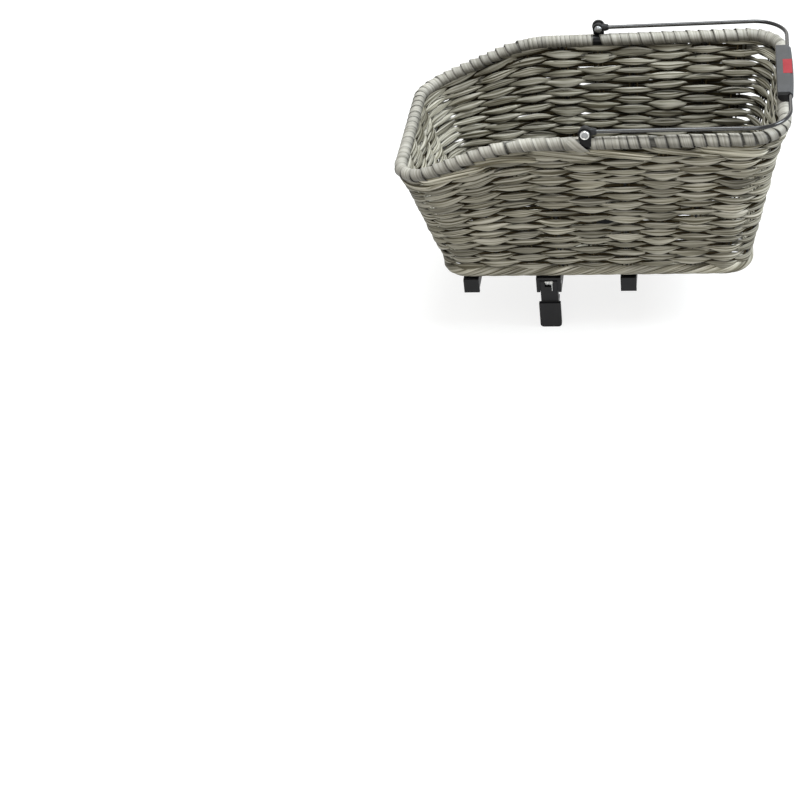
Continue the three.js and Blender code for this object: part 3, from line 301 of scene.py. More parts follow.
def grained(name, base, worn, grain, roughness, bump_depth, metallic=0.0, shine=0.5):
    """A finish with a fine grain: colour drifts a little, and the grain breaks the gloss. A metal keeps the
    shader's own IOR."""
    material, tree, shader = new_material(name)
    place = add(tree, "ShaderNodeTexCoord").outputs["Object"]
    fine = noise(tree, place, 1 / grain, 4.0)
    drift = ranged(tree, noise(tree, place, 1 / (DRIFT_GRAINS * grain), 3.0), (0.35, 0.75))
    mixed = add(tree, "ShaderNodeMix", {0: drift, 6: colour(base), 7: colour(worn)}, data_type="RGBA")
    set_surface(tree, shader, mixed.outputs[2], fine, (roughness - 0.08, roughness + 0.1), 0.4, bump_depth)
    shader.inputs["Metallic"].default_value = metallic
    if not metallic:
        shader.inputs["IOR"].default_value = PLASTIC_IOR
        shader.inputs["Specular IOR Level"].default_value = shine
    return material


# Weathered grey-beige strand: the wall, the floor and the foot border
rattan = woven_strand("Woven polyethylene rattan", "#484333", "#8F8B7B", "#C0BCAF", 0.55, 0.6 * MM)
# The rim's flat band is the same strand, unweathered and paler
binding = woven_strand("Flat binding cane", "#817E74", "#918E85", "#A09D94", 0.5, 0.15 * MM)
# Thin wires that carry the weave and the floor's cords, brown-black; the same finish is the painted shade of
# the dark cords between the rows and of the foot border's core
wire_and_shade_cord = woven_strand("Dark stake wire", "#383121", "#483F2D", "#564C39", 0.7, 0.2 * MM, shine=0.0)
# Powder coat: nearly black, with an orange-peel skin that spreads the highlight
black_coat = grained("Black powder coat on steel", "#09090A", "#101012", 0.9 * MM, 0.38, 0.05 * MM,
                     shine=0.15)
# Lacquered rod: smooth and glossy, so that the sky draws a bright line along it
lacquer = grained("Gloss black lacquer on steel", "#0B0B0D", "#111113", 2.5 * MM, 0.15, 0.01 * MM)
# Zinc plate: bright but slightly cloudy
zinc = grained("Zinc-plated steel", "#CFCFCC", "#B9BAB9", 0.5 * MM, 0.26, 0.02 * MM, metallic=1.0)
# End of the hinge pin, cut and turned over: grey and dull in the middle of its bright ring
pin_end = grained("Bare steel pin end", "#7E7F81", "#8C8D8E", 0.5 * MM, 0.45, 0.03 * MM, metallic=1.0)
# Domed nut inside each hinge: tumbled and dulled, so that it mirrors less than the pin's ring
nut_steel = grained("Dulled zinc-plated nut", "#8B8C8D", "#9A9B9B", 0.5 * MM, 0.38, 0.03 * MM,
                    metallic=1.0)
# Glass-filled nylon: spark-eroded tool surface, dull black
nylon = grained("Black glass-filled nylon", "#0C0C0E", "#141416", 0.6 * MM, 0.45, 0.05 * MM, shine=0.25)
# Moulded grip: satin dark grey
grip_grey = grained("Dark grey moulded ABS", "#363738", "#3E3F41", 0.7 * MM, 0.5, 0.04 * MM, shine=0.25)
# Inlay: smooth red plastic
inlay_red = grained("Red ABS inlay", "#7E1620", "#881E28", 0.8 * MM, 0.5, 0.01 * MM, shine=0.2)


# Outlines

def unit(vectors):
    return vectors / np.linalg.norm(vectors, axis=-1, keepdims=True)


def turned_from(first, second, angle):
    """Directions turned by an angle from the first towards the second."""
    return first * np.cos(angle)[:, None] + second * np.sin(angle)[:, None]


def step_lengths(points):
    return np.linalg.norm(np.diff(points, axis=0), axis=1)


def rounded_plan(length, width, corner, centre_x):
    """Points of a rounded oblong, from its rear centre round towards +Y and back."""
    inner_x, inner_y = length / 2 - corner, width / 2 - corner
    points = [(length / 2, 0)]
    centres = [(inner_x, inner_y), (-inner_x, inner_y), (-inner_x, -inner_y), (inner_x, -inner_y)]
    for quarter, (x, y) in enumerate(centres):
        for step in range(CORNER_STEPS + 1):
            angle = (quarter + step / CORNER_STEPS) * math.pi / 2
            points.append((x + corner * math.cos(angle), y + corner * math.sin(angle)))
    points.append((length / 2, 0))
    return np.array(points) + (centre_x, 0)


RIM_PLAN = rounded_plan(RIM_LENGTH, RIM_WIDTH, RIM_CORNER, RIM_CENTRE_X)
FOOT_PLAN = rounded_plan(FOOT_LENGTH, FOOT_WIDTH, FOOT_CORNER, FOOT_CENTRE_X)
RIM_STEPS = step_lengths(RIM_PLAN)
RIM_AROUND = RIM_STEPS.sum()
SHARES = np.concatenate(([0], np.cumsum(RIM_STEPS))) / RIM_AROUND


def on_plan(plan, share):
    share = np.mod(share, 1)
    return np.interp(share, SHARES, plan[:, 0]), np.interp(share, SHARES, plan[:, 1])


def rounded_rise(distance):
    bend = (np.clip(distance, -SLOPE_ROUNDING, SLOPE_ROUNDING) + SLOPE_ROUNDING) ** 2 / (4 * SLOPE_ROUNDING)
    return np.where(distance > SLOPE_ROUNDING, distance, bend)


def rim_at(share):
    """The rim ring's centre line: level to the rear, sloping down to the front."""
    x, y = on_plan(RIM_PLAN, share)
    slope = FRONT_DROP / (SLOPE_START_X - SLOPE_END_X)
    z = RIM_Z - slope * (rounded_rise(SLOPE_START_X - x) - rounded_rise(SLOPE_END_X - x))
    rise = (z - FOOT_Z) / (RIM_Z - FOOT_Z)
    width_here = FOOT_WIDTH + (RIM_WIDTH - FOOT_WIDTH) * rise
    return np.stack([x, y * width_here / RIM_WIDTH, z], axis=-1)


def foot_at(share):
    x, y = on_plan(FOOT_PLAN, share)
    return np.stack([x, y, np.full_like(x, FOOT_Z)], axis=-1)


def wall_frame(share):
    """Foot, rim and unit directions (around, up, out) of the wall at each share."""
    nudge = 2e-3
    foot, rim = foot_at(share), rim_at(share)
    around = unit(rim_at(share + nudge) - rim_at(share - nudge))
    up = unit(rim - foot)
    return foot, rim, around, up, unit(np.cross(around, up))


def rim_share(x, side):
    """Share at which the rim passes x on its straight side: side +1 is +Y, -1 is -Y."""
    steps = np.linspace(0.1, 0.4, 3001) if side > 0 else np.linspace(0.6, 0.9, 3001)
    return float(steps[np.argmin(np.abs(rim_at(steps)[:, 0] - x))])


# Strands swept along paths

EDGE_POWER = 9.0
FACE_BLEND = (-0.3, 0.3)


def carried(tree, name, kind="FLOAT_VECTOR"):
    """A value that the points of a path carry."""
    return add(tree, "GeometryNodeInputNamedAttribute", {"Name": name}, data_type=kind).outputs["Attribute"]


def with_value(tree, geometry, name, value):
    """The geometry with a vector stored on its points."""
    inputs = {"Geometry": geometry, "Name": name, "Value": value}
    return add(tree, "GeometryNodeStoreNamedAttribute", inputs, data_type="FLOAT_VECTOR").outputs[0]


def swept_strand_tree():
    """Sweeps an outline along each path, by the two half axes stored on the path's points."""
    tree = bpy.data.node_groups.new("Swept strand", "GeometryNodeTree")
    sockets = {}
    for name, kind in (("Paths", "Geometry"), ("Section", "Object"), ("Material", "Material")):
        sockets[name] = tree.interface.new_socket(name, in_out="INPUT", socket_type="NodeSocket" + kind)
    tree.interface.new_socket("Strands", in_out="OUTPUT", socket_type="NodeSocketGeometry")
    given = add(tree, "NodeGroupInput").outputs

    path = add(tree, "GeometryNodeMeshToCurve", {"Mesh": given["Paths"]}).outputs[0]
    centred = with_value(tree, path, "centre", add(tree, "GeometryNodeInputPosition").outputs[0])
    outline = add(tree, "GeometryNodeObjectInfo", {"Object": given["Section"]})
    ring = add(tree, "GeometryNodeMeshToCurve", {"Mesh": outline.outputs["Geometry"]})
    tube = add(tree, "GeometryNodeCurveToMesh",
               {"Curve": centred, "Profile Curve": ring.outputs[0], "Fill Caps": True})

    # each point goes to the path's centre, plus its share of the two half axes
    wide = carried(tree, "wide")
    share = add(tree, "ShaderNodeSeparateXYZ", {0: carried(tree, "section")}).outputs
    aside, outward = scaled(tree, wide, share["X"]), scaled(tree, carried(tree, "deep"), share["Y"])
    spot = summed(tree, carried(tree, "centre"), summed(tree, aside, outward))
    placed = add(tree, "GeometryNodeSetPosition", {"Geometry": tube.outputs[0], "Position": spot})

    # what the material reads: the way along the strand, the way across it, and its tone, with the painted
    # shade of the face that looks into the wall and of the edges
    tones = carried(tree, "back_shade", "FLOAT"), carried(tree, "shade", "FLOAT")
    face = ranged(tree, share["Y"], FACE_BLEND, tones)
    near_edge = maths(tree, "POWER", maths(tree, "ABSOLUTE", share["X"]), EDGE_POWER)
    darker = maths(tree, "MULTIPLY", near_edge, carried(tree, "edge_shade", "FLOAT"))
    half = add(tree, "ShaderNodeVectorMath", {0: wide}, operation="LENGTH").outputs["Value"]
    mark = add(tree, "ShaderNodeCombineXYZ",
               {"X": carried(tree, "along", "FLOAT"), "Y": maths(tree, "MULTIPLY", half, share["X"]),
                "Z": maths(tree, "SUBTRACT", face, darker)})
    marked = with_value(tree, placed.outputs[0], "strand", mark.outputs[0])
    smooth = add(tree, "GeometryNodeSetShadeSmooth", {"Geometry": marked, "Shade Smooth": True})
    finished = add(tree, "GeometryNodeSetMaterial",
                   {"Geometry": smooth.outputs[0], "Material": given["Material"]})
    add(tree, "NodeGroupOutput", {0: finished.outputs[0]})
    return tree, {name: socket.identifier for name, socket in sockets.items()}


STRAND_TREE, STRAND_INPUTS = swept_strand_tree()
PATH_FIELDS = ("wide", "deep", "along", "shade", "back_shade", "edge_shade")


def strand(centre, out, half_width, half_thickness, shade, roll=0.0, back_shade=None, edge_shade=EDGE_SHADE):
    """One strand: its centre line, the way it faces, its half sizes and the tones of its two faces."""
    run = unit(np.gradient(centre, axis=0))
    out = unit(out - (out * run).sum(-1, keepdims=True) * run)
    across = np.cross(run, out)
    size = len(centre)
    roll = np.broadcast_to(roll, size)
    faced, across = turned_from(out, across, roll), turned_from(across, -out, roll)
    along = np.concatenate(([0], np.cumsum(step_lengths(centre))))
    back_shade = shade if back_shade is None else back_shade
    return {"centre": centre, "along": along + 10 * RANDOM.random(), "shade": np.broadcast_to(shade, size),
            "back_shade": np.broadcast_to(back_shade, size), "edge_shade": np.broadcast_to(edge_shade, size),
            "wide": across * np.broadcast_to(half_width, size)[:, None],
            "deep": faced * np.broadcast_to(half_thickness, size)[:, None]}


def round_wire(centre, out, diameter, shade=WIRE_TONE):
    return strand(centre, out, diameter / 2, diameter / 2, shade)


def outline_object(name, points):
    """An outline for a sweep: points in shares of the strand's half width and half thickness."""
    size = len(points)
    flat = np.column_stack([points, np.zeros(size)])
    mesh = bpy.data.meshes.new(name)
    mesh.from_pydata(flat, [(i, (i + 1) % size) for i in range(size)], [])
    stored = mesh.attributes.new("section", "FLOAT_VECTOR", "POINT")
    stored.data.foreach_set("vector", flat.astype(np.float32).ravel())
    return bpy.data.objects.new(name, mesh)


def powered(values, power):
    """Values to a power, with their signs kept: powers below 1 make a wave fuller."""
    return np.sign(values) * np.abs(values) ** power


def section(name, sides, across_power=1.0, face_power=1.0, creases=0, crease_depth=0.0):
    """A strand's outline: powers below 1 make it squarer, a face power of 2 makes a lens with thin edges,
    and creases run along its broad faces."""
    angle = np.arange(sides) * 2 * math.pi / sides
    x, y = np.cos(angle), np.sin(angle)
    x = powered(x, across_power)
    y = powered(y, face_power) * (1 + crease_depth * np.cos(creases * math.pi * x))
    return outline_object(name, np.column_stack([x, y]))


ROUND = section("Round section", 16)
LENS = section("Folded strand section", 18, face_power=1.7, creases=3, crease_depth=0.07)
BAND = section("Band section", 14, across_power=0.62, face_power=0.62)
FLAT = section("Flat cord section", 6)


def put(name, data):
    """A new object in the scene, of a mesh, a lamp or a camera."""
    item = bpy.data.objects.new(name, data)
    bpy.context.scene.collection.objects.link(item)
    return item


def plain_copy(piece):
    """Turns what the piece's modifiers give into its own plain mesh."""
    bpy.context.view_layer.update()
    graph = bpy.context.evaluated_depsgraph_get()
    mesh = bpy.data.meshes.new_from_object(
        piece.evaluated_get(graph), preserve_all_data_layers=True, depsgraph=graph)
    piece.modifiers.clear()
    old = piece.data
    piece.data = mesh
    bpy.data.meshes.remove(old)
    mesh.name = piece.name


def turned_outward(mesh):
    """Flips a closed mesh whose faces point inwards."""
    work = bmesh.new()
    work.from_mesh(mesh)
    if work.calc_volume(signed=True) < 0:
        mesh.flip_normals()
    work.free()


def sweep(name, strands, material, outline):
    """A plain mesh of all the strands, swept by the node tree."""
    mesh = bpy.data.meshes.new(name)
    sizes = [len(s["centre"]) for s in strands]
    starts = np.concatenate(([0], np.cumsum(sizes)))
    edges = [(i, i + 1) for start, size in zip(starts, sizes) for i in range(start, start + size - 1)]
    mesh.from_pydata(np.concatenate([s["centre"] for s in strands]), edges, [])
    for field in PATH_FIELDS:
        values = np.concatenate([s[field] for s in strands])
        is_vector = values.ndim == 2
        stored = mesh.attributes.new(field, "FLOAT_VECTOR" if is_vector else "FLOAT", "POINT")
        stored.data.foreach_set("vector" if is_vector else "value", values.astype(np.float32).ravel())
    piece = put(name, mesh)
    modifier = piece.modifiers.new("Swept strand", "NODES")
    modifier.node_group = STRAND_TREE
    for label, value in (("Section", outline), ("Material", material)):
        modifier[STRAND_INPUTS[label]] = value
    plain_copy(piece)
    for field in (*PATH_FIELDS, "centre", "section"):
        if field in piece.data.attributes:
            piece.data.attributes.remove(piece.data.attributes[field])
    turned_outward(piece.data)
    return piece


def lay(name, strands, material, outline, slot, *nodes, body="basket"):
    """Sweeps strands into a piece and keeps it."""
    keep(sweep(name, strands, material, outline), body, slot, *nodes)


def keep(piece, body, slot, *nodes):
    """The piece rides on a body and stands for CAD nodes, which it hides; its slot is not used."""
    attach(piece, body)
    if nodes:
        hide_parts(*nodes)


# Woven wall

WALL_START = FOOT_BORDER / 2 - 2 * MM
WALL_END = RIM_WRAP / 2 - 1.0 * MM
FULL_HEIGHT = np.linalg.norm(rim_at(0.0) - foot_at(0.0))
ROWS_GATHER = 1.5


def on_wall(share, rise):
    """Point of the wall's middle surface and its directions (around, up, out). Rise 0 is above the border and
    1 below the rim; towards the low front the rows lie level below and gather under the sloping rim."""
    foot, rim, around, up, out = wall_frame(share)
    height = np.linalg.norm(rim - foot, axis=-1) - WALL_START - WALL_END
    full = FULL_HEIGHT - WALL_START - WALL_END
    level = WALL_START + full * rise - (full - height) * np.abs(rise) ** ROWS_GATHER
    return foot + up * level[:, None], around, up, out


def drawn(stake, middle, spread):
    """A value that wanders from stake to stake about its middle, blended along the row."""
    values = RANDOM.normal(middle, spread, STAKES)
    return np.interp(stake, np.arange(STAKES), values, period=STAKES)


def at_stake(stake):
    """Share of the rim at a stake's number."""
    return (stake + STAKE_OFFSET) / STAKES


def from_stake(stake):
    """0 at a stake and 1 half way to the next one."""
    return np.abs(stake - np.round(stake)) * 2


def tip_shift(stake, spread):
    """A shift that grows towards the crossings half way between two stakes, so that the leaves lie aslant."""
    return drawn(stake - 0.5, 0, spread) * from_stake(stake) ** TIP_POWER


def over_and_under(stake, row):
    """+1 where the row passes outside a stake and -1 where it passes inside."""
    return np.cos(math.pi * (stake + row))


def weave_row(row):
    """One weaver: round the basket, over and under the stakes, its ends tucked inside. It is widest at the
    stakes, and crosses its neighbours half way between two of them, so that each bulge is a pointed leaf."""
    # both ends lie behind the leaf of a stake that the row passes inside, on the near side
    first = STAKES // 2 + 1 + 2 * int(RANDOM.random() * ROW_STARTS) + (row + 1) % 2
    start = at_stake(first - END_REACH)
    tuck = 2 * END_REACH / STAKES
    share = np.linspace(start, start + 1 + tuck, int(STAKES * SAMPLES_PER_STAKE * (1 + tuck)))
    stake = share * STAKES - STAKE_OFFSET
    swing = over_and_under(stake + drawn(stake, 0, STAKE_WANDER), row)
    shift = drawn(stake, 0, ROW_WANDER) + tip_shift(stake, TIP_WANDER)
    middle, _, _, out = on_wall(share, (row + 0.5 + shift) / WEAVE_ROWS)
    depth = powered(swing, SWING_POWER) * WEAVE_SWING + drawn(stake, 0, DEPTH_WANDER)
    from_end = np.minimum(share - share[0], share[-1] - share) * STAKES
    tucked = np.clip(1 - from_end / END_DRAWN, 0, 1)
    depth = depth * (1 - tucked)
    taper = 1 - (1 - STRAND_WAIST) * from_stake(stake) ** WAIST_POWER
    width = drawn(stake, STRAND_HALF_WIDTH, WIDTH_WANDER) * taper * (1 - (1 - END_WIDTH) * tucked)
    tone = np.clip(drawn(stake, STRAND_TONE, TONE_WANDER), *TONE_LIMITS)
    tilt = swing * np.where(swing > 0, OUTER_TILT, INNER_TILT)
    # the face that looks into the wall lies in the shade of the strands before it
    outer, inner = (tone - DEEP_SHADE * np.clip(side, 0, 1) ** SHADE_POWER for side in (-swing, swing))
    # painted light: the face towards the inside of the basket is made a little lighter
    return strand(middle + out * depth[:, None], out, width, STRAND_HALF_THICKNESS, outer,
                  drawn(stake, 0, ROLL_WANDER) - tilt, inner + INNER_FACE_LIGHT)


def thin_companion(row):
    """A thin strand that runs along the top edge of a weaver for a few stakes."""
    first = RANDOM.integers(STAKES)
    last = first + RANDOM.integers(*THIN_STAKES)
    size = int((last - first + 2 * THIN_END) * SAMPLES_PER_STAKE)
    stake = np.linspace(first - THIN_END, last + THIN_END, size)
    swing = over_and_under(stake, row)
    middle, _, up, out = on_wall(at_stake(stake), np.full(size, (row + 0.5) / WEAVE_ROWS))
    depth = powered(swing, SWING_POWER) * WEAVE_SWING
    lift = (STRAND_HALF_WIDTH - THIN_STRAND) * np.abs(swing) + drawn(stake, THIN_LIFT, THIN_LIFT_WANDER)
    centre = middle + out * depth[:, None] + up * lift[:, None]
    ends = np.clip(np.minimum(stake - stake[0], stake[-1] - stake) / THIN_END, 0.3, 1)
    return strand(centre, out, THIN_STRAND * ends, THIN_STRAND * THIN_FLATNESS * ends, RANDOM.random())


def wale_strand(first, lift):
    """A long strand under the rim: it comes out at the top, slopes down over the weave and goes in again."""
    way = np.linspace(0, 1, int(WALE_STAKES * SAMPLES_PER_STAKE) + 8)
    share = first + way * WALE_STAKES / STAKES
    _, rim, _, up, out = wall_frame(share)
    drop = WALL_END - lift + (WALE_TOP + way) * WALE_HEIGHT + drawn(share * STAKES, 0, WALE_WANDER)
    arch = np.sin(math.pi * way)
    bulge = np.clip(arch * 2.2, 0, 1)
    depth = WEAVE_SWING * ((WALE_OUT + WALE_IN) * bulge - WALE_IN) + (0.5 - way) * WALE_LEAN + lift * 0.15
    width = WALE_HALF_WIDTH * RANDOM.normal(1, WALE_WIDTH_WANDER) * np.clip(arch * 1.5, 0.2, 1)
    tone = RANDOM.uniform(*WALE_TONES) - WALE_SHADE * (1 - bulge)
    return strand(rim - up * drop[:, None] + out * depth[:, None], out, width, WALE_HALF_THICKNESS, tone,
                  RANDOM.normal(WALE_ROLL, WALE_ROLL_WANDER))


def shade_cords(row):
    """Short dark cords between two rows, in the middle of the wall: painted shade that closes the slits
    beside the leaves, but for a few slits along the sides and most of those at the corners."""
    cords = []
    for stake in range(STAKES):
        share = at_stake(stake + np.linspace(0, 1, CORD_POINTS))
        middle, around, _, out = on_wall(share, np.full(CORD_POINTS, (row + 1) / WEAVE_ROWS))
        bend = np.linalg.norm(around[-1] - around[0])
        if RANDOM.random() > (OPEN_AT_CORNERS if bend > CORNER_BEND else OPEN_AT_SIDES):
            cords.append(strand(middle, out, SHADE_CORD, SHADE_CORD_THICKNESS, SHADE_CORD_TONE))
    return cords


def stake_wires():
    """Three thin wires side by side at each stake, from the foot border up into the rim."""
    wires = []
    for stake in range(STAKES):
        for wire in range(STAKE_WIRES):
            aside = (wire - (STAKE_WIRES - 1) / 2) * STAKE_WIRE_SPACING
            share = np.full(WIRE_POINTS, at_stake(stake))
            middle, around, _, out = on_wall(share, np.linspace(-0.03, 1.0, WIRE_POINTS))
            wires.append(round_wire(middle + around * aside, out, STAKE_WIRE, RANDOM.random()))
    return wires


def make_wall():
    rows = [weave_row(row) for row in range(WEAVE_ROWS)]
    thirds = [WEAVE_ROWS * part // 3 for part in range(4)]
    for name, first, last in zip(("weave_lower", "weave_middle", "weave_upper"), thirds, thirds[1:]):
        lay(name, rows[first:last], rattan, LENS, "rattan", "woven_wall")
    thin = [thin_companion(row) for row in range(WEAVE_ROWS) for _ in range(THIN_PER_ROW)]
    lay("weave_thin", thin, rattan, ROUND, "rattan")
    firsts = (np.arange(WALE_STRANDS) + RANDOM.normal(0, WALE_START_WANDER, WALE_STRANDS)) / WALE_STRANDS
    wale = [wale_strand(first, lift) for first in firsts for lift in WALE_LIFTS]
    lay("weave_wale", wale, rattan, LENS, "rattan")
    lay("weave_stakes", stake_wires(), wire_and_shade_cord, ROUND, "rattan")
    # painted shade: dark cords where the slits between the rows lie in shade
    cords = [cord for row in range(WEAVE_ROWS - 1) for cord in shade_cords(row)]
    lay("weave_cords", cords, wire_and_shade_cord, FLAT, "rattan")


def make_foot_border():
    """A rope of flat strands laid round a core."""
    share = np.linspace(0, 1.004, BORDER_POINTS)
    middle = foot_at(share)
    middle[:, 2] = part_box("foot_border")[0].z - BORDER_SAG + BORDER_HEIGHT / 2
    around = unit(np.gradient(middle, axis=0))
    out = unit(np.cross(around, UP))
    up = np.cross(out, around)
    lays = round(step_lengths(middle).sum() / BORDER_LAY)
    deep, high = (size / 2 - BORDER_HALF_THICKNESS for size in (BORDER_DEPTH, BORDER_HEIGHT))
    strands = []
    for index in range(BORDER_STRANDS):
        angle = 2 * math.pi * (share * lays + index / BORDER_STRANDS)
        shade = np.interp(share, np.linspace(0, 1, 40), RANDOM.uniform(*BORDER_TONES, 40))
        strands.append(strand(middle + turned_from(out * deep, up * high, angle), turned_from(out, up, angle),
                              BORDER_HALF_WIDTH, BORDER_HALF_THICKNESS, shade))
    lay("plaited_foot", strands, rattan, LENS, "rattan", "foot_border")
    # painted shade: the dark core stands for the shade in the grooves between the strands
    core = strand(middle, out, deep, high, BORDER_CORE_SHADE)
    lay("foot_core", [core], wire_and_shade_cord, ROUND, "rattan")


# Rim binding

# Stretches of the rim by the share at which they end, with the band's pitch and how much of it is covered
BAND_STRETCHES = (
    (HALF_END, 15 * MM, 1.04),                                  # rear end
    (rim_share(PIVOT_X, 1), 12.9 * MM, 1.04),                   # far side, behind the hinge
    (rim_share(SLOPE_START_X, 1), 5 * MM, 1.04),                # far side, before the hinge
    (0.5 + HALF_END, 11.6 * MM, 1.05),                          # far slope and front end
    (rim_share(PIVOT_X, -1), 14.4 * MM, 1.06),                  # near side, before the hinge
    (rim_share(PIVOT_X + HINGE_STRETCH, -1), 9.8 * MM, 1.03),   # near side, just behind the hinge
    (1 - HALF_END, 12.6 * MM, 0.86),                            # near side, rear
    (1, 15 * MM, 1.04))                                         # rear end


def band_at(share):
    """Pitch of the wound band at a place on the rim, and how much of it the band covers."""
    return next((pitch, cover) for end, pitch, cover in BAND_STRETCHES if share % 1 < end)


def rim_stretch(share):
    """Length of rim for each unit of share, longer than in plan where the rim slopes."""
    nudge = 1e-3
    return np.linalg.norm(rim_at(share + nudge) - rim_at(share - nudge), axis=-1) / (2 * nudge)


def wound_band(start, end, cut):
    """A flat band wound round the rim from one share to another; each turn lies with one edge on the last.
    The last turn is shorter by the share cut."""
    shares, covers, position = [start], [], start
    while position < end:
        pitch, cover = band_at(position)
        position += pitch * RANDOM.normal(1, PITCH_WANDER) / rim_stretch(position)
        shares.append(position)
        covers.append(cover * RANDOM.normal(1, COVER_WANDER))
    # the turns are drawn together a little, so that the last one is a whole one
    shares = start + (np.array(shares) - start) * (end - start) / (position - start)
    turns = len(shares) - 1
    count = np.linspace(0, turns - cut, turns * SAMPLES_PER_TURN + 1)
    share = np.interp(count, np.arange(turns + 1), shares)
    middles = np.arange(turns) + 0.5
    half_width = np.interp(count, middles, np.diff(shares) * np.array(covers) / 2) * rim_stretch(share)
    _, rim, _, up, out = wall_frame(share)
    angle = 2 * math.pi * count
    radial = turned_from(up, out, angle)
    centre = rim + radial * (RIM_WRAP / 2 - BAND_THICKNESS)
    shade = np.interp(count, np.arange(turns + 1), RANDOM.uniform(*BAND_TONES, turns + 1))
    # painted shade: each turn is darker towards the rim's underside, away from the light above
    shade = shade - BAND_UNDERSIDE_SHADE * (1 - np.cos(angle)) / 2
    return strand(centre, radial, half_width, BAND_THICKNESS, shade, BAND_ROLL, edge_shade=BAND_EDGE_SHADE)


def bracket_wrap():
    """The binding's last turn before the left hinge, laid slantwise over the foot of the bracket."""
    way = np.linspace(0, 1, WRAP_POINTS)
    angle = np.radians(np.linspace(*WRAP_ANGLES, WRAP_POINTS))
    _, rim, _, up, out = wall_frame(rim_share(PIVOT_X, -1) + np.linspace(*WRAP_RUN, WRAP_POINTS) / RIM_AROUND)
    reach = powered(np.cos(angle), 0.8) * WRAP_OUT
    centre = rim + out * reach[:, None] + up * (np.sin(angle) * WRAP_UP)[:, None]
    half_width = WRAP_HALF_WIDTH * np.clip(3 - 3 * way, 0.4, 1)
    return strand(centre, turned_from(out, up, angle), half_width, BAND_THICKNESS, WRAP_TONE)


def make_binding():
    """The band in runs from hinge to hinge, with a narrow gap where one length ends and another starts."""
    joints = [rim_share(x, side) for x, side in BINDING_JOINTS]
    ends = {"rear": (rim_share(PIVOT_X + HINGE_GAP, -1) - 1, rim_share(PIVOT_X + HINGE_GAP, 1)),
            "front": (rim_share(PIVOT_X - HINGE_GAP, 1), rim_share(PIVOT_X - HINGE_GAP, -1))}
    half_gap = JOINT_GAP / 2 / RIM_AROUND
    for side, (start, end) in ends.items():
        inside = sorted(joint + turn for joint in joints for turn in (-1, 0) if start < joint + turn < end)
        starts = [start, *(joint + half_gap for joint in inside)]
        stops = [*(joint - half_gap for joint in inside), end]
        cuts = [*(JOINT_CUT for _ in inside), 0]
        runs = [wound_band(*run) for run in zip(starts, stops, cuts)]
        lay(f"binding_{side}", runs, binding, BAND, "binding", f"rim_wrap_{side}")
    lay("binding_end", [bracket_wrap()], binding, BAND, "binding")
    share = np.linspace(0, 1.001, 600)
    _, rim, _, _, out = wall_frame(share)
    # painted shade: the core is darkest at the joints and along the bare near rear, where the gaps lie in
    # shade
    at_joint = np.abs(share[:, None] - joints).min(1) < JOINT_SHADE_REACH / RIM_AROUND
    bare = at_joint | ((share > rim_share(PIVOT_X + BARE_FROM, -1)) & (share < BARE_TO))
    core = round_wire(rim, out, CORE_DIAMETER, np.where(bare, BARE_CORE_SHADE, CORE_TONE))
    lay("rim_core", [core], binding, ROUND, "binding")


def make_floor():
    """Rows along the floor, over and under its cross wires and cords, their ends tucked into the border."""
    low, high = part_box("woven_floor")
    rows = round((high.y - low.y) / FLOOR_ROW)
    strands = []
    for row in range(rows):
        y = low.y + (row + 0.5) * (high.y - low.y) / rows
        inset = max(0, abs(y) + FOOT_CORNER - high.y)
        draw_in = FOOT_CORNER - math.sqrt(max(FOOT_CORNER ** 2 - inset ** 2, 0)) - FLOOR_TUCK
        x = np.arange(low.x + draw_in, high.x - draw_in, FLOOR_STEP)
        stake = (x - FOOT_CENTRE_X) / FLOOR_STAKE
        swing = over_and_under(stake, row)
        taper = 1 - (1 - FLOOR_WAIST) * from_stake(stake) ** WAIST_POWER
        width = STRAND_HALF_WIDTH * RANDOM.normal(1, FLOOR_WIDTH_WANDER) * taper
        z = (low.z + high.z) / 2 + powered(swing, FLOOR_SWING_POWER) * FLOOR_SWING
        centre = np.stack([x, np.full_like(x, y), z], axis=-1)
        tone = np.interp(x, np.linspace(low.x, high.x, 9), RANDOM.uniform(*FLOOR_TONES, 9))
        upper, lower = (tone - FLOOR_SHADE * np.clip(side, 0, 1) for side in (-swing, swing))
        strands.append(strand(centre, UP, width, STRAND_HALF_THICKNESS, upper,
                              RANDOM.normal(0, FLOOR_ROLL_WANDER), lower))
    lay("weave_floor", strands, rattan, LENS, "rattan", "woven_floor")


def cross_wire(stake, diameter):
    """A straight wire across under the floor's rows."""
    low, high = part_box("woven_floor")
    x, reach = FOOT_CENTRE_X + stake * FLOOR_STAKE, high.y + FLOOR_TUCK
    ends = [(x, y, (low.z + high.z) / 2) for y in (-reach, reach)]
    return round_wire(np.linspace(*ends, 5), UP, diameter)


def make_frame():
    """The welded frame: two rings, cross wires under the floor, and an upright at the stake next to each of
    the part's uprights; thin cords lie between the cross wires."""
    share = np.linspace(0, 1.001, 400)
    _, rim, _, _, out = wall_frame(share)
    wires = [round_wire(rim, out, RING_WIRE), round_wire(foot_at(share), out, FOOT_WIRE)]
    height = np.linspace(0, 1, WIRE_POINTS)[:, None]
    for upright in range(UPRIGHTS):
        stake = round(upright / UPRIGHTS * STAKES - STAKE_OFFSET)
        foot, rim, _, _, out = wall_frame(np.full(WIRE_POINTS, at_stake(stake)))
        wires.append(round_wire(foot + (rim - foot) * height, out, UPRIGHT_WIRE))
    wires += [cross_wire(stake, FLOOR_WIRE) for stake in FLOOR_WIRES]
    lay("frame_wires", wires, black_coat, ROUND, "black_steel", "wire_frame")
    cords = [cross_wire(stake, FLOOR_CORD) for stake in FLOOR_CORDS]
    lay("floor_cords", cords, wire_and_shade_cord, ROUND, "rattan")


# Handle and fittings

def middle_of(node):
    """Centre and half sizes of a node's box."""
    low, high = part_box(node)
    return (low + high) / 2, (high - low) / 2


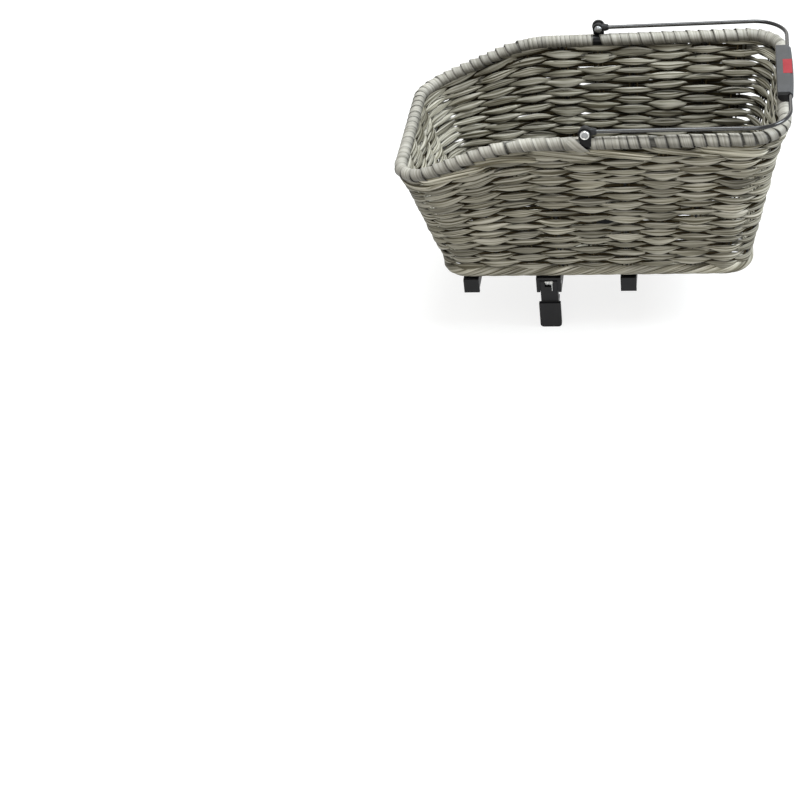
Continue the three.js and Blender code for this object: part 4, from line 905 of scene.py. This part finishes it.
def reworked(mesh, gap, last_step):
    """Joins the points of a mesh that lie within a gap, then takes one more step on it."""
    work = bmesh.new()
    work.from_mesh(mesh)
    bmesh.ops.remove_doubles(work, verts=work.verts, dist=gap)
    last_step(work)
    work.to_mesh(mesh)
    work.free()


def flat_faces_joined(work):
    bmesh.ops.dissolve_limit(work, angle_limit=math.radians(1), verts=work.verts, edges=work.edges)


def faces_turned_outward(work):
    bmesh.ops.recalc_face_normals(work, faces=work.faces)


def softened(name, node, radius, material, body, slot):
    """A copy of a node with its edges rounded."""
    mesh = frame["nodes"][node].data.copy()
    reworked(mesh, 0.002 * MM, flat_faces_joined)
    mesh.materials.clear()
    mesh.materials.append(material)
    piece = put(name, mesh)
    piece.data.shade_smooth()
    bevel = piece.modifiers.new("Rounded edges", "BEVEL")
    bevel.width, bevel.segments = radius, 3
    bevel.limit_method, bevel.angle_limit = "ANGLE", math.radians(32)
    evened = piece.modifiers.new("Flat faces stay flat", "WEIGHTED_NORMAL")
    evened.mode, evened.keep_sharp = "FACE_AREA", True
    plain_copy(piece)
    keep(piece, body, slot, node)
    return piece


def bail_path():
    """Centre line of the handle's rod, from its end in the left knuckle round the grip to the right one."""
    low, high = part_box("bail_rod")
    radius = (high.z - low.z) / 2
    bar_x, half_bar, level = high.x - radius, high.y - radius, (low.z + high.z) / 2
    arm_y = middle_of("bail_knuckle_right")[0].y
    arm_end, bar_end = bar_x - BAIL_CORNER, half_bar - BAIL_CORNER
    pull = BAIL_CORNER * CORNER_PULL
    t = np.linspace(0, 1, 25)[:, None]
    corner = ((1 - t) ** 3 * (arm_end, half_bar) + 3 * t * (1 - t) ** 2 * (bar_x - pull, half_bar)
              + 3 * t ** 2 * (1 - t) * (bar_x, half_bar - pull) + t ** 3 * (bar_x, bar_end))
    arm = np.linspace((low.x, arm_y), (arm_end, half_bar), 30)[:-1]
    right = np.concatenate([arm, corner, np.linspace((bar_x, bar_end), (bar_x, 0), 10)[1:]])
    left = right[::-1][1:] * (1, -1)
    both = np.concatenate([right, left])
    return np.column_stack([both, np.full(len(both), level)])


def cut_corners(points, radius):
    """Rounds the corners of an outline."""
    points = np.array(points)
    rounded = []
    for before, corner, after in zip(np.roll(points, 1, axis=0), points, np.roll(points, -1, axis=0)):
        reach = min(radius, np.linalg.norm(before - corner) / 2.2, np.linalg.norm(after - corner) / 2.2)
        a, b = corner + unit(before - corner) * reach, corner + unit(after - corner) * reach
        for t in np.linspace(0, 1, 4):
            rounded.append((1 - t) ** 2 * a + 2 * t * (1 - t) * corner + t ** 2 * b)
    return np.array(rounded)


def grip_half(name, outline, material, slot, node):
    """Half of the grip, swept along the bar; its outer side bows outward in the middle of its length."""
    low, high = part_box(node)
    half = (high.y - low.y) / 2
    y = half * np.concatenate([[-1, -0.995, -0.985], np.linspace(-0.97, 0.97, 25), [0.985, 0.995, 1]])
    from_end = half - np.abs(y)
    shrink = 1 - GRIP_END_SHRINK * np.clip(1 - from_end / GRIP_EDGE, 0, 1) ** 2
    inner = low.x
    outer = high.x - (GRIP_OUTER - GRIP_OUTER_END) * (y / half) ** 2
    centre = np.column_stack([(inner + outer) / 2, y, np.full(len(y), middle_of("bail_rod")[0].z)])
    spread = outline.max(0)[0] - outline.min(0)[0]
    points = np.column_stack([-2 * (outline[:, 0] - outline[:, 0].min()) / spread + 1, outline[:, 1] / MM])
    body = strand(centre, UP, (outer - inner) / 2 * shrink, MM * shrink, WIRE_TONE)
    piece = sweep(name, [body], material, outline_object(name + " section", points[::-1]))
    piece.data.set_sharp_from_angle(angle=math.radians(28))
    keep(piece, "bail", slot, node)


def make_handle():
    rod = round_wire(bail_path(), UP, ROD_DIAMETER)
    lay("handle_rod", [rod], lacquer, ROUND, "black_steel", "bail_rod", body="bail")
    upper = [(-GRIP_INNER, GRIP_SPLIT), (-GRIP_INNER, GRIP_TOP - GRIP_CHAMFER),
             (GRIP_CHAMFER - GRIP_INNER, GRIP_TOP), (GRIP_OUTER, GRIP_TOP), (GRIP_OUTER, GRIP_SPLIT)]
    grip_half("grip_upper", cut_corners(upper, GRIP_ROUNDING), grip_grey, "grey_plastic", "grip_top")
    depth = 2 * middle_of("grip_base")[1].z
    lower = [(GRIP_OUTER, -GRIP_SPLIT), (GRIP_OUTER, GRIP_BELLY - depth), (GRIP_OUTER - GRIP_BELLY, -depth),
             (GRIP_BELLY - GRIP_INNER, -depth), (-GRIP_INNER, GRIP_BELLY - depth), (-GRIP_INNER, -GRIP_SPLIT)]
    grip_half("grip_lower", cut_corners(lower, BELLY_ROUNDING), nylon, "black_plastic", "grip_base")
    mark = softened("grip_mark", "grip_inlay", INLAY_EDGE, inlay_red, "bail", "red_inlay")
    mark.data.transform(Matrix.Translation((0, 0, INLAY_PROUD)))


def turned(name, profile, place, axis, material):
    """A round piece: points (radius, height) of its half profile, turned about an axis through place."""
    axis = np.array(axis, dtype=float)
    side = np.array((1.0, 0.0, 0.0)) if abs(axis[0]) < 0.9 else np.array((0.0, 1.0, 0.0))
    other = np.cross(axis, side)
    angle = np.arange(TURNED_SIDES) * 2 * math.pi / TURNED_SIDES
    circle = turned_from(side, other, angle)
    rings = [np.array(place) + axis * height + radius * circle for radius, height in profile]
    faces = []
    for start in range(0, (len(rings) - 1) * TURNED_SIDES, TURNED_SIDES):
        for i in range(TURNED_SIDES):
            j, end = (i + 1) % TURNED_SIDES, start + TURNED_SIDES
            faces.append((start + i, start + j, end + j, end + i))
    mesh = bpy.data.meshes.new(name)
    mesh.from_pydata(np.concatenate(rings), [], faces)
    reworked(mesh, 0.001 * MM, faces_turned_outward)
    mesh.materials.append(material)
    mesh.shade_smooth()
    mesh.set_sharp_from_angle(angle=math.radians(40))
    return put(name, mesh)


def dome(radius, height, edge, flat):
    """Half profile of a domed head, from its rim up to its middle."""
    angle = np.linspace(0, math.pi / 2, 9)
    crown = zip(flat + (radius - flat) * np.cos(angle), edge + (height - edge) * np.sin(angle))
    return [(radius, 0), *crown]


def make_pivots():
    """At each hinge a pin, whose head is a bright ring about its dull end, and a domed nut inside."""
    for side, sign in (("left", -1), ("right", 1)):
        middle, half = middle_of(f"pivot_pin_{side}")
        length, head = 2 * half.y, half.z
        bore = PIN_BORE * head
        ring = dome(PIN_RING * head, PIN_HEAD, PIN_EDGE, PIN_CROWN * head)
        pin = [(0, -length), (PIN_SHANK, -length), (PIN_SHANK, -PIN_HEAD),
               *((radius, height - PIN_HEAD) for radius, height in ring),
               (bore + PIN_LIP, -PIN_LIP_DROP), (bore, -PIN_HOLLOW), (0, -PIN_HOLLOW)]
        plug = bore - PIN_END_PLAY
        end = [(0, PIN_END_FOOT), (plug, PIN_END_FOOT), (plug, PIN_END_RIM), (0, PIN_END_TOP)]
        end = [(radius, height - PIN_HOLLOW) for radius, height in end]
        top = (PIVOT_X, middle.y + sign * half.y, middle.z)
        for name, profile, material in (("pin", pin, zinc), ("pin_end", end, pin_end)):
            piece = turned(f"{name}_{side}", profile, top, (0, sign, 0), material)
            keep(piece, "basket", "bright_steel", f"pivot_pin_{side}")
        nut_middle, half = middle_of(f"pivot_nut_{side}")
        radius, height = half.z, 2 * half.y
        profile = [(PIN_SHANK, 0), *dome(radius, height, NUT_EDGE, NUT_CROWN * radius), (0, height)]
        seat = (PIVOT_X, nut_middle.y + sign * half.y, middle.z)
        nut = turned(f"nut_{side}", profile, seat, (0, -sign, 0), nut_steel)
        keep(nut, "basket", "bright_steel", f"pivot_nut_{side}")


def make_fittings():
    """Brackets, knuckles with their rod sockets, and the moulded pieces of the adapter."""
    for side in ("left", "right"):
        softened(f"bracket_{side}", f"hinge_bracket_{side}", BRACKET_EDGE, black_coat, "basket",
                 "black_steel")
        middle, half = middle_of(f"bail_knuckle_{side}")
        radius, side_face, edge = half.z, half.y, KNUCKLE_EDGE
        eye = [(KNUCKLE_BORE, -side_face), (radius - edge, -side_face), (radius, edge - side_face),
               (radius, side_face - edge), (radius - edge, side_face), (KNUCKLE_BORE, side_face),
               (KNUCKLE_BORE, -side_face)]
        socket = [(reach * MM, way * MM) for reach, way in ROD_SOCKET]
        for name, profile, axis in (("knuckle", eye, (0, 1, 0)), ("rod_socket", socket, (1, 0, 0))):
            piece = turned(f"{name}_{side}", profile, (PIVOT_X, middle.y, middle.z), axis, nylon)
            keep(piece, "bail", "black_plastic", f"bail_knuckle_{side}")
    softened("adapter_body", "adapter_housing", MOULDED_EDGE, nylon, "basket", "black_plastic")
    softened("latch", "latch_lever", MOULDED_EDGE, nylon, "latch", "black_plastic")
    for end in ("front", "rear"):
        softened(f"hook_{end}", f"far_hook_{end}", MOULDED_EDGE, nylon, "basket", "black_plastic")


def make_spring():
    """The latch's torsion spring: a leg back to the hood, coils round the pin and a leg down in the lever."""
    half = SPRING_TURNS * SPRING_PITCH / 2
    way = np.linspace(0, 1, SPRING_STEPS * SPRING_TURNS + 1)
    angle = math.pi / 2 + way * (SPRING_TURNS * 2 * math.pi + math.pi / 2)
    radial = np.column_stack([np.zeros(len(way)), np.cos(angle), np.sin(angle)])
    coils = radial * SPRING_RADIUS + (0, LATCH_PIVOT_Y, LATCH_PIVOT_Z)
    coils[:, 0] = (2 * way - 1) * half
    leg = np.linspace(0, SPRING_LEG, 6)[1:, None]
    centre = np.concatenate([coils[0] + leg[::-1] * (0, 1, 0), coils, coils[-1] - leg * (0, 0, 1)])
    out = np.pad(radial, ((len(leg), len(leg)), (0, 0)), mode="edge")
    piece = sweep("spring_wire", [round_wire(centre, out, SPRING_WIRE)], zinc, ROUND)
    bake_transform(piece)
    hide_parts("latch_spring")


SLOT_FINISH = {"black_steel": black_coat, "bright_steel": zinc, "black_plastic": nylon, "rattan": rattan,
               "binding": binding, "grey_plastic": grip_grey, "red_inlay": inlay_red}


def finish_nodes():
    """Gives the nodes that stay their finish."""
    for row in frame["record"]["subparts"]:
        node = frame["nodes"][row["node"]]
        node.data.materials.clear()
        node.data.materials.append(SLOT_FINISH[row["material_slot"]])


# Floor, light and camera

def shown(tree):
    """1 for the rays that show the white background: the camera's, and those by way of metal or glass."""
    rays = add(tree, "ShaderNodeLightPath").outputs
    seen = maths(tree, "MAXIMUM", rays["Is Camera Ray"], rays["Is Glossy Ray"])
    return maths(tree, "MAXIMUM", seen, rays["Is Transmission Ray"])


def make_stage():
    floor_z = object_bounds()[0].z - STAGE_BELOW
    corners = [(x * STAGE_HALF, y * STAGE_HALF, floor_z) for x, y in ((-1, -1), (1, -1), (1, 1), (-1, 1))]
    mesh = bpy.data.meshes.new("floor")
    mesh.from_pydata(corners, [], [(0, 1, 2, 3)])
    floor = put("floor", mesh)
    material, tree, shader = new_material("White studio floor")
    shader.inputs["Base Color"].default_value = colour("#8E8E8C")
    shader.inputs["Roughness"].default_value = 0.9
    shader.inputs["Emission Color"].default_value = (1, 1, 1, 1)
    tree.links.new(maths(tree, "MULTIPLY", shown(tree), STAGE_GLOW), shader.inputs["Emission Strength"])
    # clear from below, so that the object's underside can be looked at
    facing = add(tree, "ShaderNodeNewGeometry")
    clear = add(tree, "ShaderNodeBsdfTransparent")
    either = add(tree, "ShaderNodeMixShader",
                 {0: facing.outputs["Backfacing"], 1: shader.outputs["BSDF"], 2: clear.outputs["BSDF"]})
    tree.links.new(either.outputs[0], tree.nodes["Material Output"].inputs["Surface"])
    mesh.materials.append(material)

    world = bpy.data.worlds.new("Soft daylight")
    bpy.context.scene.world = world
    world.use_nodes = True
    tree = world.node_tree
    tree.nodes.clear()
    place = add(tree, "ShaderNodeTexCoord").outputs["Generated"]
    height = add(tree, "ShaderNodeSeparateXYZ", {0: place}).outputs["Z"]
    strength = ranged(tree, shown(tree), to_span=(ranged(tree, height, to_span=OVERCAST), 1.0))
    sky = add(tree, "ShaderNodeBackground", {"Color": (1, 1, 1, 1), "Strength": strength})
    add(tree, "ShaderNodeOutputWorld", {"Surface": sky.outputs[0]})

    for name, place, size, power, tint in LAMPS:
        data = bpy.data.lights.new(name, "AREA")
        data.shape, data.size, data.energy, data.color = "DISK", size, power, tint
        light = put(name, data)
        light.location = place
        light.rotation_euler = (Vector(LIT_MIDDLE) - Vector(place)).to_track_quat("-Z", "Y").to_euler()


def make_camera():
    turn = Matrix()
    for angle, axis in ((CAMERA_YAW, "Z"), (math.pi / 2 + CAMERA_PITCH, "X"), (CAMERA_ROLL, "Z")):
        turn @= Matrix.Rotation(angle, 4, axis)
    data = bpy.data.cameras.new("Camera")
    data.sensor_width = SENSOR_WIDTH
    data.lens = FOCAL_PIXELS / PICTURE_PIXELS * SENSOR_WIDTH
    camera = put("Camera", data)
    camera.matrix_world = Matrix.Translation(CAMERA_PLACE) @ turn
    bpy.context.scene.camera = camera


bpy.context.scene.view_settings.view_transform = "Standard"
finish_nodes()
make_wall()
make_foot_border()
make_binding()
make_floor()
make_frame()
make_fittings()
make_spring()
make_handle()
make_pivots()
make_stage()
make_camera()
